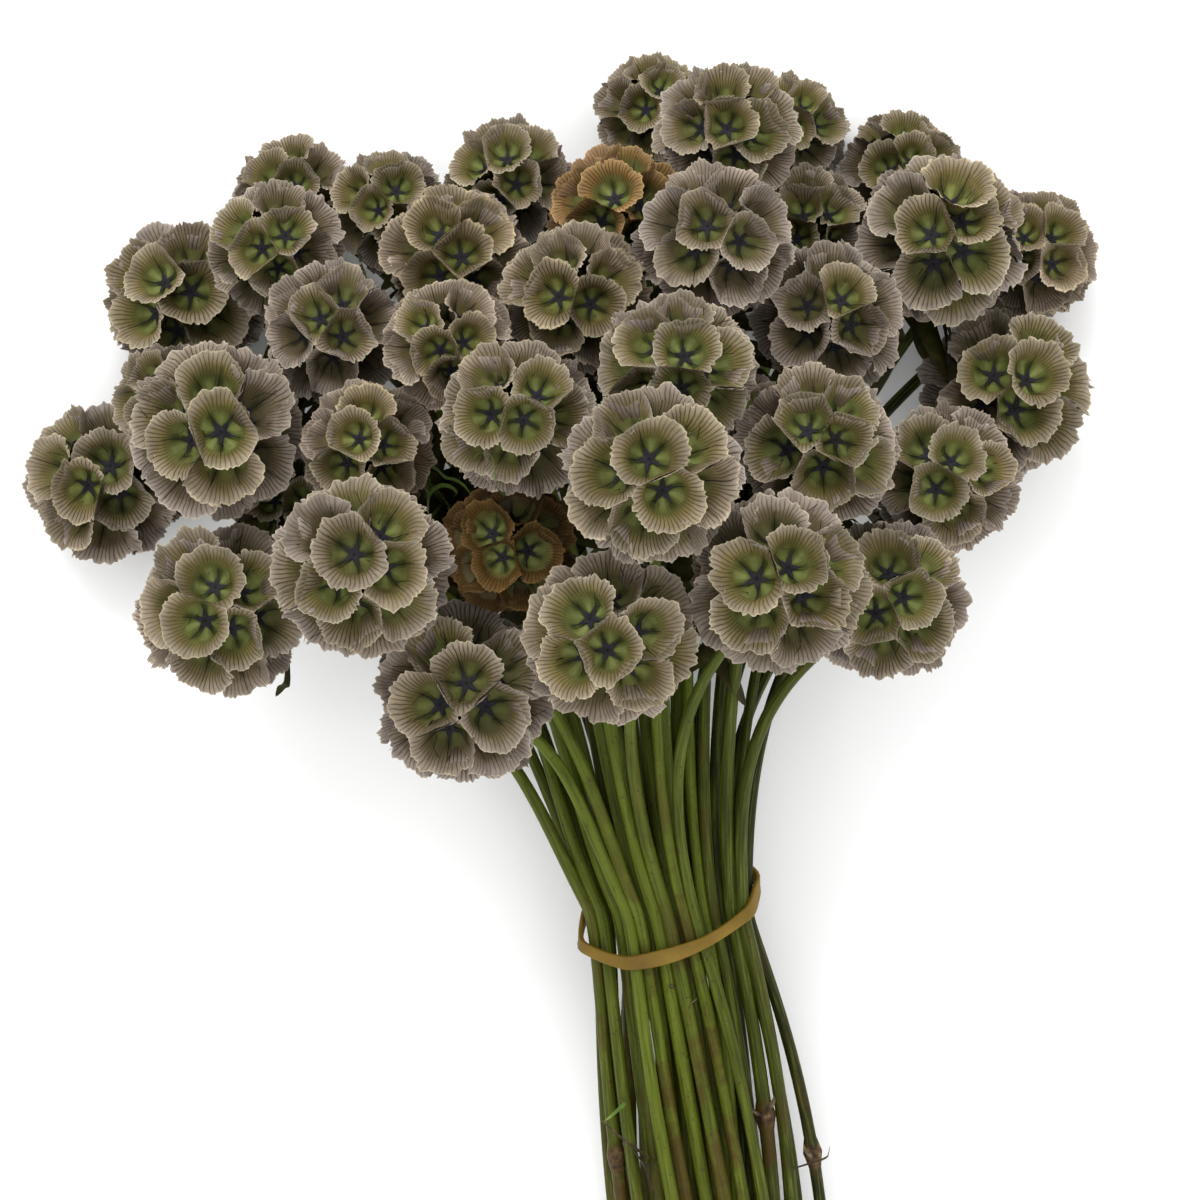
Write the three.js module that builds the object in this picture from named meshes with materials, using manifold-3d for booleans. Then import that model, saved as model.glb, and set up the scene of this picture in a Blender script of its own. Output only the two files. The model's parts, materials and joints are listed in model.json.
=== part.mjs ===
// A tied bunch of starflower scabiosa (Scabiosa stellata) seed heads, lying on a surface.
//
// Millimetres, +Z up. The stems run along Y with the heads towards +Y, and the bunch lies on the
// plane z = 0, on its lowest heads and on the cut ends of its stems. Each head is a ball of papery
// cups that stand out of a smaller core. Two neighbouring stems press together inside the rubber
// band and make one solid, and each head is a solid of its own, just clear of its stem's tip.

import * as THREE from 'three';
import { ConvexHull } from 'three/addons/math/ConvexHull.js';
import { mergeVertices } from 'three/addons/utils/BufferGeometryUtils.js';
import Module from 'manifold-3d';

// The heads as seen straight from above, from EYE_HEIGHT over the surface that the bunch lies on,
// and measured on that surface: [x, y, diameter]. A head that stands higher is nearer to the eye,
// so its true place and size are smaller by its share of that height.
const EYE_HEIGHT = 1000;
const HEADS_SEEN = [
  [11, 100, 23], [28, 93, 29], [57, 89, 24], [41, 80, 25], [70, 74, 34], [87, 70, 26],
  [22, 73, 31], [47, 59, 30], [4, 79, 28], [-20, 84, 26], [-43, 80, 24], [-62, 82, 25],
  [-66, 70, 27], [-29, 68, 30], [-7, 61, 30], [-83, 60, 32], [-55, 55, 28], [-31, 50, 26],
  [14, 47, 32], [-76, 35, 35], [-46, 36, 27], [-17, 36, 31], [11, 26, 36], [43, 30, 32],
  [83, 43, 34], [71, 25, 29], [-101, 25, 32], [-77, -1, 34], [-48, 6, 36], [-19, 11, 27],
  [-28, -18, 36], [3, -7, 35], [35, 6, 36], [59, 0, 32],
  [-88, 43, 23], [-64, 19, 25], [44, 92, 23], [29, 36, 23],
];

// The heads together form a mound. Its plan is two half ellipses, one towards the stems. A head
// larger than MIDDLE_DIAMETER stands higher, up to its edge, where the mound falls away.
const MOUND = { x: -4, y: 10, halfWidth: 96, farDepth: 92, nearDepth: 56, height: 70 };
const MIDDLE_DIAMETER = 28;
const EDGE_FALL = 3;
const HEAD_GAP = 0.6;

// A head in the lowest layer sinks by FLAT_SINK, and is cut off flat at the surface.
const FLAT_SINK = 0.9;
const TRIM_DEPTH = 20;

// Each round moves a head by these shares of its way to the place seen and to the mound.
const HEAD_ROUNDS = 1500;
const PARTING_ROUNDS = 300;
const SEEN_PULL = 0.08;
const MOUND_PULL = 0.02;

// One head: its cups stand in rings round the axis, [angle from the axis, number, turn], degrees.
const CUP_RINGS = [[0, 1, 0], [45, 5, 0], [88, 8, 20], [129, 5, 0]];
const CUP_HALF_ANGLE = 20;
const CUP_SCATTER = { round: 0.16, tilt: 4 };
const CUP_SIDES = 7;
const CUP_FLOOR = 0.6;
const CUP_SEED = 41;
const CORE = 0.74;
const CORE_POINTS = 150;
const CORE_CLEARANCE = 5;
const CORE_SPACING = 19;

// The neck stands out of the core opposite the way the head faces. Its foot is wider than its tip.
const NECK_CLEARANCE = 34;
const NECK_LENGTH = 1.12;
const NECK_SIDES = 5;
const NECK_RADIUS = 1.6;
const NECK_FOOT = 1.5;
const NECK_KEEP = 18;

// A head's stem leans out from the tie by SMALL_LEAN in the highest heads and by LARGE_LEAN in
// those near the surface, degrees.
const SMALL_LEAN = 8;
const LARGE_LEAN = 52;
const LEAN_HEIGHT = 45;
const LEAN_SCATTER = 0.24;
const LEAN_SEED = 7;
// A head left of the tie leans further round to the left than it lies, by LEFT_TURN times its
// angle from +Y, and by FARTHEST_TURN degrees at most.
const LEFT_TURN = 1.8;
const FARTHEST_TURN = 95;

// The stems pass the tie in four rows of pairs, lowest row first, and spread on both sides of it.
// PAIR_HALF is less than the radius there, so that the two stems of a pair press together.
const TIE = new THREE.Vector3(13.5, -61, 24);
const ROW_SIZES = [8, 12, 12, 6];
const MIDDLE_ROW = (ROW_SIZES.length - 1) / 2;
const ROW_PITCH = 3.3;
const PAIR_PITCH = 5.75;
const PAIR_HALF = 1.2;
const TIE_HALF_WIDTH = 17;
const ROUTE_SEED = 23;

// THINNEST is the girth of the thinnest pair, as a share of these radii.
const STEM_RADIUS = { tie: 1.4, head: 1.2, cut: 1.5 };
const THINNEST = 0.84;
const STEM_SIDES = 5;
const TIP_GAP = 0.3;

// Above the tie a stem leaves it straight for START_LENGTH, sideways by its place in the row and
// upwards by its row. The arrival is the straight piece below the head.
const START_LENGTH = 26;
const SIDEWAYS = { middle: -0.26, edge: 0.25, row: -0.03 };
const UPWARDS = { middle: 0.17, row: 0.06 };
const ARRIVAL = { share: 0.22, longest: 16, lowest: 2 };
const THIRD = new THREE.Vector3(0.08, 0.42, 0.3);
const FOURTH = new THREE.Vector3(0.42, 0.8, 0.68);

// Below the tie the stems run on to their cut ends, scattered a little across each other. The
// strays are stems that part from the others there. The shares say where the control points are.
const LOWER_START = 8;
const LOWER_SHARES = [0.25, 0.52, 0.8];
const STRAY_SHARES = [0.88, 0.94, 1];
const CUT_LENGTH = 125;
const CUT_SCATTER = { x: 8, y: 10, z: 5 };
const CUT_DRIFT = 11;
const CUT_SPREAD = { x: 0.82, z: 1.12 };
const CUT_PARTING = 0.4;
const TIE_SLIDE = 1.2;
const CUT_SLIDE = 7;
const STRAYS = [{ row: 1, place: 10, drift: 12.5 }, { row: 1, place: 11, drift: 17.5 }];

// The clearances that the stems keep. A pair is together over the first PAIR_SHARE of its runs,
// and all stems keep their place over the first HELD_SAMPLES.
const STEM_GAP = 0.6;
const BESIDE_HEAD = 0.5;
const STEM_SAMPLES = 44;
const STEM_ROUNDS = 120;
const PAIR_SHARE = 0.2;
const HELD_SAMPLES = 2;
const PUSH_SHARE = 0.5;
const LEAST_WEIGHT = 0.15;

// The steps at which the bars of a stem's solid bend.
const UPPER_STEPS = [0, 0.13, 0.3, 0.48, 0.66, 0.84, 1];
const LOWER_STEPS = [1, 0.66, 0.33];

// The rubber band slants across the bundle, lower in front than behind.
const BAND = { width: 3.2, thickness: 1, gap: 0.3, corners: 24 };
const BAND_SLANT = { middle: -62.8, rightRise: 0.25, frontDrop: 1.15 };
const BAND_MARGIN = 1.5;
const LINE_SAMPLES = 600;

const MERGE_DISTANCE = 1e-4;

function seededRandom(seed) {
  let state = seed;
  return () => {
    state = (state * 1664525 + 1013904223) % 4294967296;
    return state / 4294967296;
  };
}

const toRadians = THREE.MathUtils.degToRad;
const along = (start, direction, distance) => start.clone().addScaledVector(direction, distance);

// Places the heads: each is drawn to its seen place and to the mound, and pushed off the others.
function settledHeads() {
  const heads = HEADS_SEEN.map(([x, y, diameter]) => {
    const dx = (x - MOUND.x) / MOUND.halfWidth;
    const depth = y > MOUND.y ? MOUND.farDepth : MOUND.nearDepth;
    const dy = (y - MOUND.y) / depth;
    const fall = 1 - dx * dx - dy * dy;
    const lift = (diameter - MIDDLE_DIAMETER) * THREE.MathUtils.clamp(EDGE_FALL * fall, 0, 1);
    const rise = Math.max(0, MOUND.height * fall + lift);
    const centre = new THREE.Vector3(x, y, rise + diameter / 2);
    return { seen: new THREE.Vector2(x, y), seenRadius: diameter / 2, rise, centre };
  });
  for (let round = 0; round < HEAD_ROUNDS + PARTING_ROUNDS; round += 1) {
    for (const head of heads) {
      const scale = 1 - head.centre.z / EYE_HEIGHT;
      head.radius = head.seenRadius * scale;
      if (round < HEAD_ROUNDS) {
        head.centre.x += (head.seen.x * scale - head.centre.x) * SEEN_PULL;
        head.centre.y += (head.seen.y * scale - head.centre.y) * SEEN_PULL;
        head.centre.z += (head.radius + head.rise - head.centre.z) * MOUND_PULL;
      }
    }
    partHeads(heads);
    for (const head of heads) {
      head.centre.z = Math.max(head.centre.z, head.radius - FLAT_SINK);
    }
  }
  return heads;
}

function partHeads(heads) {
  heads.forEach((first, index) => {
    for (const second of heads.slice(index + 1)) {
      const push = first.centre.clone().sub(second.centre);
      const distance = push.length();
      const shortfall = first.radius + second.radius + HEAD_GAP - distance;
      if (shortfall > 0) {
        push.multiplyScalar(shortfall / distance / 2);
        push.x /= 2;
        push.y /= 2;
        first.centre.add(push);
        second.centre.sub(push);
      }
    }
  });
}

// The level direction in which a head leans away from the tie.
function outwardWay(centre) {
  const aside = Math.atan2(centre.x - TIE.x, centre.y - TIE.y);
  const turned = aside < 0 ? Math.max(aside * LEFT_TURN, -toRadians(FARTHEST_TURN)) : aside;
  return new THREE.Vector3(Math.sin(turned), Math.cos(turned), 0);
}

// Gives each head the direction in which it faces away from its stem, and the base it grows from.
function aimHeads(heads) {
  const random = seededRandom(LEAN_SEED);
  for (const head of heads) {
    const outward = outwardWay(head.centre);
    const height = THREE.MathUtils.clamp((head.centre.z - head.radius) / LEAN_HEIGHT, 0, 1);
    const lean = toRadians(THREE.MathUtils.lerp(LARGE_LEAN, SMALL_LEAN, height));
    const scatter = new THREE.Vector3(random() - 0.5, random() - 0.5, 0);
    const upward = new THREE.Vector3(0, 0, Math.cos(lean));
    upward.addScaledVector(scatter, LEAN_SCATTER);
    head.axis = upward.addScaledVector(outward, Math.sin(lean)).normalize();
    head.base = along(head.centre, head.axis, -head.radius * NECK_LENGTH);
    head.stemTip = along(head.base, head.axis, -TIP_GAP);
  }
}

// A stem is two runs, one from the tie to the head and one from the tie to the cut end. Each run
// is a curve with six control points. The free ones move when a neighbour pushes.
function bernstein(t) {
  const s = 1 - t;
  return [s ** 5, 5 * t * s ** 4, 10 * t ** 2 * s ** 3, 10 * t ** 3 * s ** 2, 5 * t ** 4 * s, t ** 5];
}

function curvePoint(control, weights) {
  const point = new THREE.Vector3();
  control.forEach((corner, index) => point.addScaledVector(corner, weights[index]));
  return point;
}

function routedStems(heads) {
  const fromTie = (head) => head.base.clone().sub(TIE);
  const elevation = (head) => fromTie(head).z / Math.hypot(fromTie(head).x, fromTie(head).y);
  const bearing = (head) => Math.atan2(fromTie(head).x, fromTie(head).y);
  const random = seededRandom(ROUTE_SEED);
  const byHeight = [...heads].sort((a, b) => elevation(a) - elevation(b));
  const stems = [];
  ROW_SIZES.forEach((size, row) => {
    const level = row - MIDDLE_ROW;
    const members = byHeight.splice(0, size).sort((a, b) => bearing(a) - bearing(b));
    let girth = 1;
    members.forEach((head, place) => {
      if (place % 2 === 0) {
        girth = THREE.MathUtils.lerp(THINNEST, 1, random());
      }
      const pair = `${row}-${Math.floor(place / 2)}`;
      const side = (place % 2 ? PAIR_HALF : -PAIR_HALF) * girth;
      const pairPlace = (Math.floor(place / 2) - (size / 2 - 1) / 2) * PAIR_PITCH;
      const offset = pairPlace + side - level * TIE_SLIDE;
      const slot = TIE.clone().add(new THREE.Vector3(offset, 0, level * ROW_PITCH));
      const stray = STRAYS.find((one) => one.row === row && one.place === place);
      const control = upperControl(slot, offset, level, head);
      const start = control[1].clone().sub(slot).normalize();
      const cut = cutEnd(offset + CUT_PARTING * side, level, random);
      const lowerRun = lowerControl(slot, start, cut, stray);
      stems.push({
        head,
        girth,
        upper: { pair, head, control, free: [2, 3] },
        lower: { pair, control: lowerRun, free: [2, 3, 4, 5] },
      });
    });
  });
  settleRuns(stems.map((stem) => stem.upper), heads);
  settleRuns(stems.map((stem) => stem.lower), []);
  return stems;
}

function upperControl(slot, offset, level, head) {
  const sideways = SIDEWAYS.middle + SIDEWAYS.edge * offset / TIE_HALF_WIDTH + SIDEWAYS.row * level;
  const upwards = UPWARDS.middle + UPWARDS.row * level;
  const start = along(slot, new THREE.Vector3(sideways, 1, upwards).normalize(), START_LENGTH);
  const reach = Math.min(ARRIVAL.longest, slot.distanceTo(head.stemTip) * ARRIVAL.share);
  const arrival = along(head.stemTip, head.axis, -reach);
  arrival.z = Math.max(arrival.z, ARRIVAL.lowest);
  const span = arrival.clone().sub(start);
  const third = start.clone().add(span.clone().multiply(THIRD));
  const fourth = start.clone().add(span.clone().multiply(FOURTH));
  return [slot, start, third, fourth, arrival, head.stemTip];
}

function cutEnd(offset, level, random) {
  const scattered = (middle, width) => middle + (random() - 0.5) * width;
  const rowHeight = STEM_RADIUS.cut + (level + MIDDLE_ROW) * ROW_PITCH * CUT_SPREAD.z;
  const rowMiddle = TIE.x + CUT_DRIFT + level * CUT_SLIDE;
  const z = Math.max(scattered(rowHeight, CUT_SCATTER.z), STEM_RADIUS.cut);
  const x = scattered(rowMiddle + offset * CUT_SPREAD.x, CUT_SCATTER.x);
  const y = scattered(TIE.y - CUT_LENGTH, CUT_SCATTER.y);
  return new THREE.Vector3(x, y, z);
}

function lowerControl(slot, tangent, cut, stray) {
  const start = along(slot, tangent, -LOWER_START);
  const drift = new THREE.Vector3(stray ? stray.drift : 0, 0, 0);
  const between = LOWER_SHARES.map((share, index) => {
    return start.clone().lerp(cut, share).addScaledVector(drift, STRAY_SHARES[index]);
  });
  return [slot, start, ...between, cut.clone().add(drift)];
}

// Moves the free control points until each run clears the others, the heads and the surface.
function settleRuns(runs, heads) {
  const steps = Array.from({ length: STEM_SAMPLES + 1 }, (_, index) => index / STEM_SAMPLES);
  const weights = steps.map((step) => bernstein(step));
  const obstacles = heads.flatMap((head) => [
    { head, centre: head.centre, radius: head.radius },
    { head, centre: head.base, radius: NECK_RADIUS + BESIDE_HEAD },
  ]);
  for (let round = 0; round < STEM_ROUNDS; round += 1) {
    for (const run of runs) {
      run.samples = weights.map((row) => curvePoint(run.control, row));
      run.pushes = weights.map(() => new THREE.Vector3());
    }
    runs.forEach((first, index) => {
      runs.slice(index + 1).forEach((second) => pushRuns(first, second));
    });
    for (const run of runs) {
      pushOffHeads(run, obstacles);
      moveFreePoints(run, weights);
    }
  }
}

function pushRuns(first, second) {
  const paired = first.pair === second.pair;
  const clear = 2 * STEM_RADIUS.cut + (paired ? 0 : STEM_GAP);
  const start = paired ? Math.round(STEM_SAMPLES * PAIR_SHARE) : HELD_SAMPLES;
  for (let a = start; a <= STEM_SAMPLES; a += 1) {
    for (let b = start; b <= STEM_SAMPLES; b += 1) {
      const dx = first.samples[a].x - second.samples[b].x;
      const dy = first.samples[a].y - second.samples[b].y;
      const dz = first.samples[a].z - second.samples[b].z;
      const square = dx * dx + dy * dy + dz * dz;
      if (square < clear * clear) {
        const share = (clear / Math.sqrt(square) - 1) / 2;
        const push = new THREE.Vector3(dx, dy, dz).multiplyScalar(share);
        first.pushes[a].add(push);
        second.pushes[b].sub(push);
      }
    }
  }
}

function pushOffHeads(run, obstacles) {
  for (const { head, centre, radius } of obstacles) {
    const clear = radius + STEM_RADIUS.tie + BESIDE_HEAD;
    if (head !== run.head) {
      run.samples.forEach((sample, index) => {
        const away = sample.clone().sub(centre);
        const distance = away.length();
        if (distance < clear) {
          run.pushes[index].addScaledVector(away, clear / distance - 1);
        }
      });
    }
  }
}

function moveFreePoints(run, weights) {
  for (const corner of run.free) {
    const move = new THREE.Vector3();
    let total = 0;
    run.pushes.forEach((push, index) => {
      if (push.lengthSq() > 0) {
        move.addScaledVector(push, weights[index][corner]);
        total += weights[index][corner] ** 2;
      }
    });
    run.control[corner].addScaledVector(move, PUSH_SHARE / Math.max(total, LEAST_WEIGHT));
    run.control[corner].z = Math.max(run.control[corner].z, STEM_RADIUS.cut);
  }
}

// The whole centre line of a stem, from its cut end through the tie to the head, with radii.
function centreLine(stem) {
  const placeOn = (run, end, t) => ({
    place: curvePoint(run.control, bernstein(t)),
    radius: THREE.MathUtils.lerp(STEM_RADIUS.tie, end, t) * stem.girth,
  });
  const line = [
    ...LOWER_STEPS.map((t) => placeOn(stem.lower, STEM_RADIUS.cut, t)),
    ...UPPER_STEPS.map((t) => placeOn(stem.upper, STEM_RADIUS.head, t)),
  ];
  line[line.length - 1].forward = stem.head.axis;
  return line;
}

// A closed geometry of triangles, from points and index triples.
function closedGeometry(points, triangles) {
  const geometry = new THREE.BufferGeometry();
  const places = points.flatMap((point) => [point.x, point.y, point.z]);
  geometry.setAttribute('position', new THREE.Float32BufferAttribute(places, 3));
  geometry.setIndex(triangles.flat());
  return geometry;
}

// A round bar along a centre line, with flat ends. An end may have its own way forward, to lie
// flat against what it meets.
function barGeometry(line, sides) {
  const points = [];
  const triangles = [];
  let across = new THREE.Vector3(1, 0, 0);
  line.forEach(({ place, radius, forward: given }, index) => {
    const before = line[Math.max(index - 1, 0)].place;
    const after = line[Math.min(index + 1, line.length - 1)].place;
    const forward = given ?? after.clone().sub(before).normalize();
    across = across.clone().addScaledVector(forward, -across.dot(forward)).normalize();
    const upright = forward.clone().cross(across);
    for (let side = 0; side < sides; side += 1) {
      const angle = 2 * Math.PI * side / sides;
      const out = across.clone().multiplyScalar(Math.cos(angle));
      points.push(along(place, out.addScaledVector(upright, Math.sin(angle)), radius));
    }
  });
  for (let step = 0; step < line.length - 1; step += 1) {
    for (let side = 0; side < sides; side += 1) {
      const next = (side + 1) % sides;
      const a = step * sides + side;
      const b = step * sides + next;
      triangles.push([a, b, b + sides], [a, b + sides, a + sides]);
    }
  }
  const last = (line.length - 1) * sides;
  for (let side = 1; side < sides - 1; side += 1) {
    triangles.push([0, side + 1, side], [last, last + side, last + side + 1]);
  }
  return closedGeometry(points, triangles);
}

// The directions of one head's cups, round the way it faces, clear of its neck.
function cupAxes(head, random) {
  const facing = head.axis.clone().add(new THREE.Vector3(0, 0, 1)).normalize();
  const turn = new THREE.Quaternion().setFromUnitVectors(new THREE.Vector3(0, 0, 1), facing);
  const spin = random() * 2 * Math.PI;
  const axes = [];
  for (const [tilt, count, start] of CUP_RINGS) {
    for (let place = 0; place < count; place += 1) {
      const turned = (place + CUP_SCATTER.round * (random() - 0.5)) * 2 * Math.PI / count;
      const round = spin + toRadians(start) + turned;
      const down = toRadians(tilt + CUP_SCATTER.tilt * (random() - 0.5));
      const axis = new THREE.Vector3().setFromSphericalCoords(1, down, round);
      axis.set(axis.x, axis.z, axis.y).applyQuaternion(turn);
      if (axis.angleTo(head.axis) < toRadians(180 - NECK_CLEARANCE)) {
        axes.push(axis);
      }
    }
  }
  return axes;
}

// Directions in a circle round an axis. No head has a cup or a neck along OFF_AXIS.
const OFF_AXIS = new THREE.Vector3(0.3, 0.5, 0.8);

function circleOf(axis, halfAngle, sides, start) {
  const across = OFF_AXIS.clone().cross(axis).normalize();
  return Array.from({ length: sides }, (_, side) => {
    const out = across.clone().applyAxisAngle(axis, start + 2 * Math.PI * side / sides);
    return axis.clone().multiplyScalar(Math.cos(halfAngle)).addScaledVector(out, Math.sin(halfAngle));
  });
}

// Evenly spread directions between the cups, where the core shows.
function coreDirections(axes, head) {
  const directions = [];
  for (let index = 0; index < CORE_POINTS; index += 1) {
    const z = 1 - (2 * index + 1) / CORE_POINTS;
    const round = index * Math.PI * (3 - Math.sqrt(5));
    const flat = Math.sqrt(1 - z * z);
    const direction = new THREE.Vector3(flat * Math.cos(round), flat * Math.sin(round), z);
    const isOff = (other, angle) => other.angleTo(direction) > toRadians(angle);
    const offCups = axes.every((axis) => isOff(axis, CUP_HALF_ANGLE + CORE_CLEARANCE));
    const offNeck = isOff(head.axis.clone().negate(), NECK_KEEP);
    if (offCups && offNeck && directions.every((other) => isOff(other, CORE_SPACING))) {
      directions.push(direction);
    }
  }
  return directions;
}

// A head is seen from its own centre as one sheet: cup rims stand out, cup floors and core lie in.
function headGeometry(head, random) {
  const shape = [];
  const axes = cupAxes(head, random);
  for (const axis of axes) {
    shape.push({ direction: axis, reach: CUP_FLOOR });
    const rim = circleOf(axis, toRadians(CUP_HALF_ANGLE), CUP_SIDES, random() * Math.PI);
    for (const direction of rim) {
      shape.push({ direction, reach: 1 });
    }
  }
  for (const direction of coreDirections(axes, head)) {
    shape.push({ direction, reach: CORE });
  }
  const down = head.axis.clone().negate();
  const neckAngle = Math.asin(NECK_RADIUS / head.radius);
  for (const direction of circleOf(down, neckAngle * NECK_FOOT, NECK_SIDES, 0)) {
    shape.push({ direction, reach: CORE });
  }
  for (const direction of circleOf(down, neckAngle, NECK_SIDES, 0)) {
    shape.push({ direction, reach: NECK_LENGTH / direction.dot(down) });
  }
  const numbers = new Map(shape.map(({ direction }, index) => [direction, index]));
  const hull = new ConvexHull().setFromPoints(shape.map(({ direction }) => direction));
  const triangles = hull.faces.map((face) => {
    const corners = [];
    let edge = face.edge;
    do {
      corners.push(numbers.get(edge.head().point));
      edge = edge.next;
    } while (edge !== face.edge);
    return corners;
  });
  const points = shape.map(({ direction, reach }) => {
    return along(head.centre, direction, reach * head.radius);
  });
  return closedGeometry(points, triangles);
}

// Joins and cuts closed meshes.
const wasm = await Module();
wasm.setup();

function solidOf(geometry) {
  const bare = geometry.clone();
  bare.deleteAttribute('normal');
  bare.deleteAttribute('uv');
  const merged = mergeVertices(bare, MERGE_DISTANCE);
  return new wasm.Manifold(new wasm.Mesh({
    numProp: 3,
    vertProperties: new Float32Array(merged.attributes.position.array),
    triVerts: new Uint32Array(merged.index.array),
  }));
}

function geometryOf(solid) {
  const { vertProperties, triVerts } = solid.getMesh();
  const geometry = new THREE.BufferGeometry();
  geometry.setAttribute('position', new THREE.BufferAttribute(new Float32Array(vertProperties), 3));
  geometry.setIndex(new THREE.BufferAttribute(new Uint32Array(triVerts), 1));
  return geometry;
}

// What reaches below the surface is cut off flat.
function trimmedAtSurface(geometry, head) {
  const block = new THREE.BoxGeometry(4 * head.radius, 4 * head.radius, TRIM_DEPTH);
  block.translate(head.centre.x, head.centre.y, -TRIM_DEPTH / 2);
  return geometryOf(solidOf(geometry).subtract(solidOf(block)));
}

// The tight loop round the bundle, in a slanted plane through the tie.
function bandHeight(x, z) {
  const { middle, rightRise, frontDrop } = BAND_SLANT;
  return middle + rightRise * (x - TIE.x) - frontDrop * (z - TIE.z);
}

function bandOutline(stems) {
  const corners = [];
  for (const stem of stems) {
    for (const point of denseLine(stem)) {
      if (Math.abs(point.y - bandHeight(point.x, point.z)) < BAND.width / 2 + BAND_MARGIN) {
        corners.push(point);
      }
    }
  }
  const reach = STEM_RADIUS.tie + BAND.gap;
  const ring = [];
  for (let corner = 0; corner < BAND.corners; corner += 1) {
    const angle = 2 * Math.PI * corner / BAND.corners;
    const out = new THREE.Vector3(Math.cos(angle), 0, Math.sin(angle));
    const further = (best, point) => (point.dot(out) > best.dot(out) ? point : best);
    const furthest = corners.reduce(further);
    ring.push(along(furthest, out, reach).setY(0));
  }
  return ring;
}

// Points close together along the straight bars of a stem.
function denseLine(stem) {
  const path = new THREE.CurvePath();
  const places = centreLine(stem).map(({ place }) => place);
  places.slice(1).forEach((place, index) => path.add(new THREE.LineCurve3(places[index], place)));
  return path.getSpacedPoints(LINE_SAMPLES);
}

function bandGeometry(stems) {
  const inner = bandOutline(stems);
  const middle = new THREE.Vector3(TIE.x, 0, TIE.z);
  const points = [];
  const triangles = [];
  inner.forEach((place, index) => {
    const before = inner[(index + inner.length - 1) % inner.length];
    const after = inner[(index + 1) % inner.length];
    const run = after.clone().sub(before).normalize();
    const out = new THREE.Vector3(run.z, 0, -run.x);
    if (out.dot(place.clone().sub(middle)) < 0) {
      out.negate();
    }
    const outer = along(place, out, BAND.thickness);
    for (const [corner, shift] of [[place, -0.5], [outer, -0.5], [outer, 0.5], [place, 0.5]]) {
      const y = bandHeight(corner.x, corner.z) + shift * BAND.width;
      points.push(new THREE.Vector3(corner.x, y, corner.z));
    }
    for (let side = 0; side < 4; side += 1) {
      const a = index * 4 + side;
      const b = index * 4 + (side + 1) % 4;
      const c = ((index + 1) % inner.length) * 4 + (side + 1) % 4;
      const d = ((index + 1) % inner.length) * 4 + side;
      triangles.push([a, b, c], [a, c, d]);
    }
  });
  return closedGeometry(points, triangles);
}

// Colours: papery beige heads, two of them brown, green stems and an ochre band.
const papery = new THREE.MeshStandardMaterial({ color: 0xa39272, roughness: 0.85, metalness: 0 });
const brown = new THREE.MeshStandardMaterial({ color: 0x8a6636, roughness: 0.85, metalness: 0 });
const green = new THREE.MeshStandardMaterial({ color: 0x5f7d35, roughness: 0.6, metalness: 0 });
const ochre = new THREE.MeshStandardMaterial({ color: 0xc39a3f, roughness: 0.5, metalness: 0 });
const BROWN_HEADS = [9, 30];

function namedMesh(name, geometry, material) {
  const mesh = new THREE.Mesh(geometry, material);
  mesh.name = name;
  return mesh;
}

const twoDigits = (number) => String(number).padStart(2, '0');

function buildBunch() {
  const bunch = new THREE.Group();
  const heads = settledHeads();
  aimHeads(heads);
  const stems = routedStems(heads);
  const random = seededRandom(CUP_SEED);
  heads.forEach((head, index) => {
    let geometry = headGeometry(head, random);
    if (head.centre.z < head.radius) {
      geometry = trimmedAtSurface(geometry, head);
    }
    const material = BROWN_HEADS.includes(index + 1) ? brown : papery;
    bunch.add(namedMesh(`head_${twoDigits(index + 1)}`, geometry, material));
  });
  const pairs = [...new Set(stems.map((stem) => stem.upper.pair))];
  pairs.forEach((pair, index) => {
    const both = stems.filter((stem) => stem.upper.pair === pair);
    const [first, second] = both.map((stem) => solidOf(barGeometry(centreLine(stem), STEM_SIDES)));
    bunch.add(namedMesh(`stems_${twoDigits(index + 1)}`, geometryOf(first.add(second)), green));
  });
  bunch.add(namedMesh('rubber_band', bandGeometry(stems), ochre));
  return bunch;
}

// The origin is under the middle of the bunch, on the surface.
const bunch = buildBunch();
const box = new THREE.Box3().setFromObject(bunch);
const middle = box.getCenter(new THREE.Vector3());
bunch.position.set(-middle.x, -middle.y, -box.min.z);

const part = new THREE.Group();
part.add(bunch);

export default part;
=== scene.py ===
"""A tied bunch of starflower scabiosa seed heads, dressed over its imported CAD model.

Lengths are in millimetres, and new_piece() turns them into metres. The heads and the way each
one faces are read from the CAD nodes. The stems' runs are worked out as the CAD model does.
"""

import json
import math

import bpy
import numpy as np
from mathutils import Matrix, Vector


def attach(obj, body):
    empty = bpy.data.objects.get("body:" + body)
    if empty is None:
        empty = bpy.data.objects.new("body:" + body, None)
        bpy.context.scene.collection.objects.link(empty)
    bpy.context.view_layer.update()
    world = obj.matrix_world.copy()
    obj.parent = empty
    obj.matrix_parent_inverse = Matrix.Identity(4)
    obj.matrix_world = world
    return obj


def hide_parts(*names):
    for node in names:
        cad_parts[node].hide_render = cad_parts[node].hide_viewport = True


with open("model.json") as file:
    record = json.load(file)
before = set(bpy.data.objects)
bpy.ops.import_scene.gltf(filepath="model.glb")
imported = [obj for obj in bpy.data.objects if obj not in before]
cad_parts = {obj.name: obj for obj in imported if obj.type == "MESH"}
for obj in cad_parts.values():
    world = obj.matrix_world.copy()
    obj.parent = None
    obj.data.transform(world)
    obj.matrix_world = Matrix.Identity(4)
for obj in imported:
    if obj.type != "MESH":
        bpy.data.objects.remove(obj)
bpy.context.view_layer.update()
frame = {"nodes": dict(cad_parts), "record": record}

MILLIMETRE = 0.001
GOLDEN_ANGLE = math.pi * (3 - math.sqrt(5))
UP = np.array([0.0, 0.0, 1.0])

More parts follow.
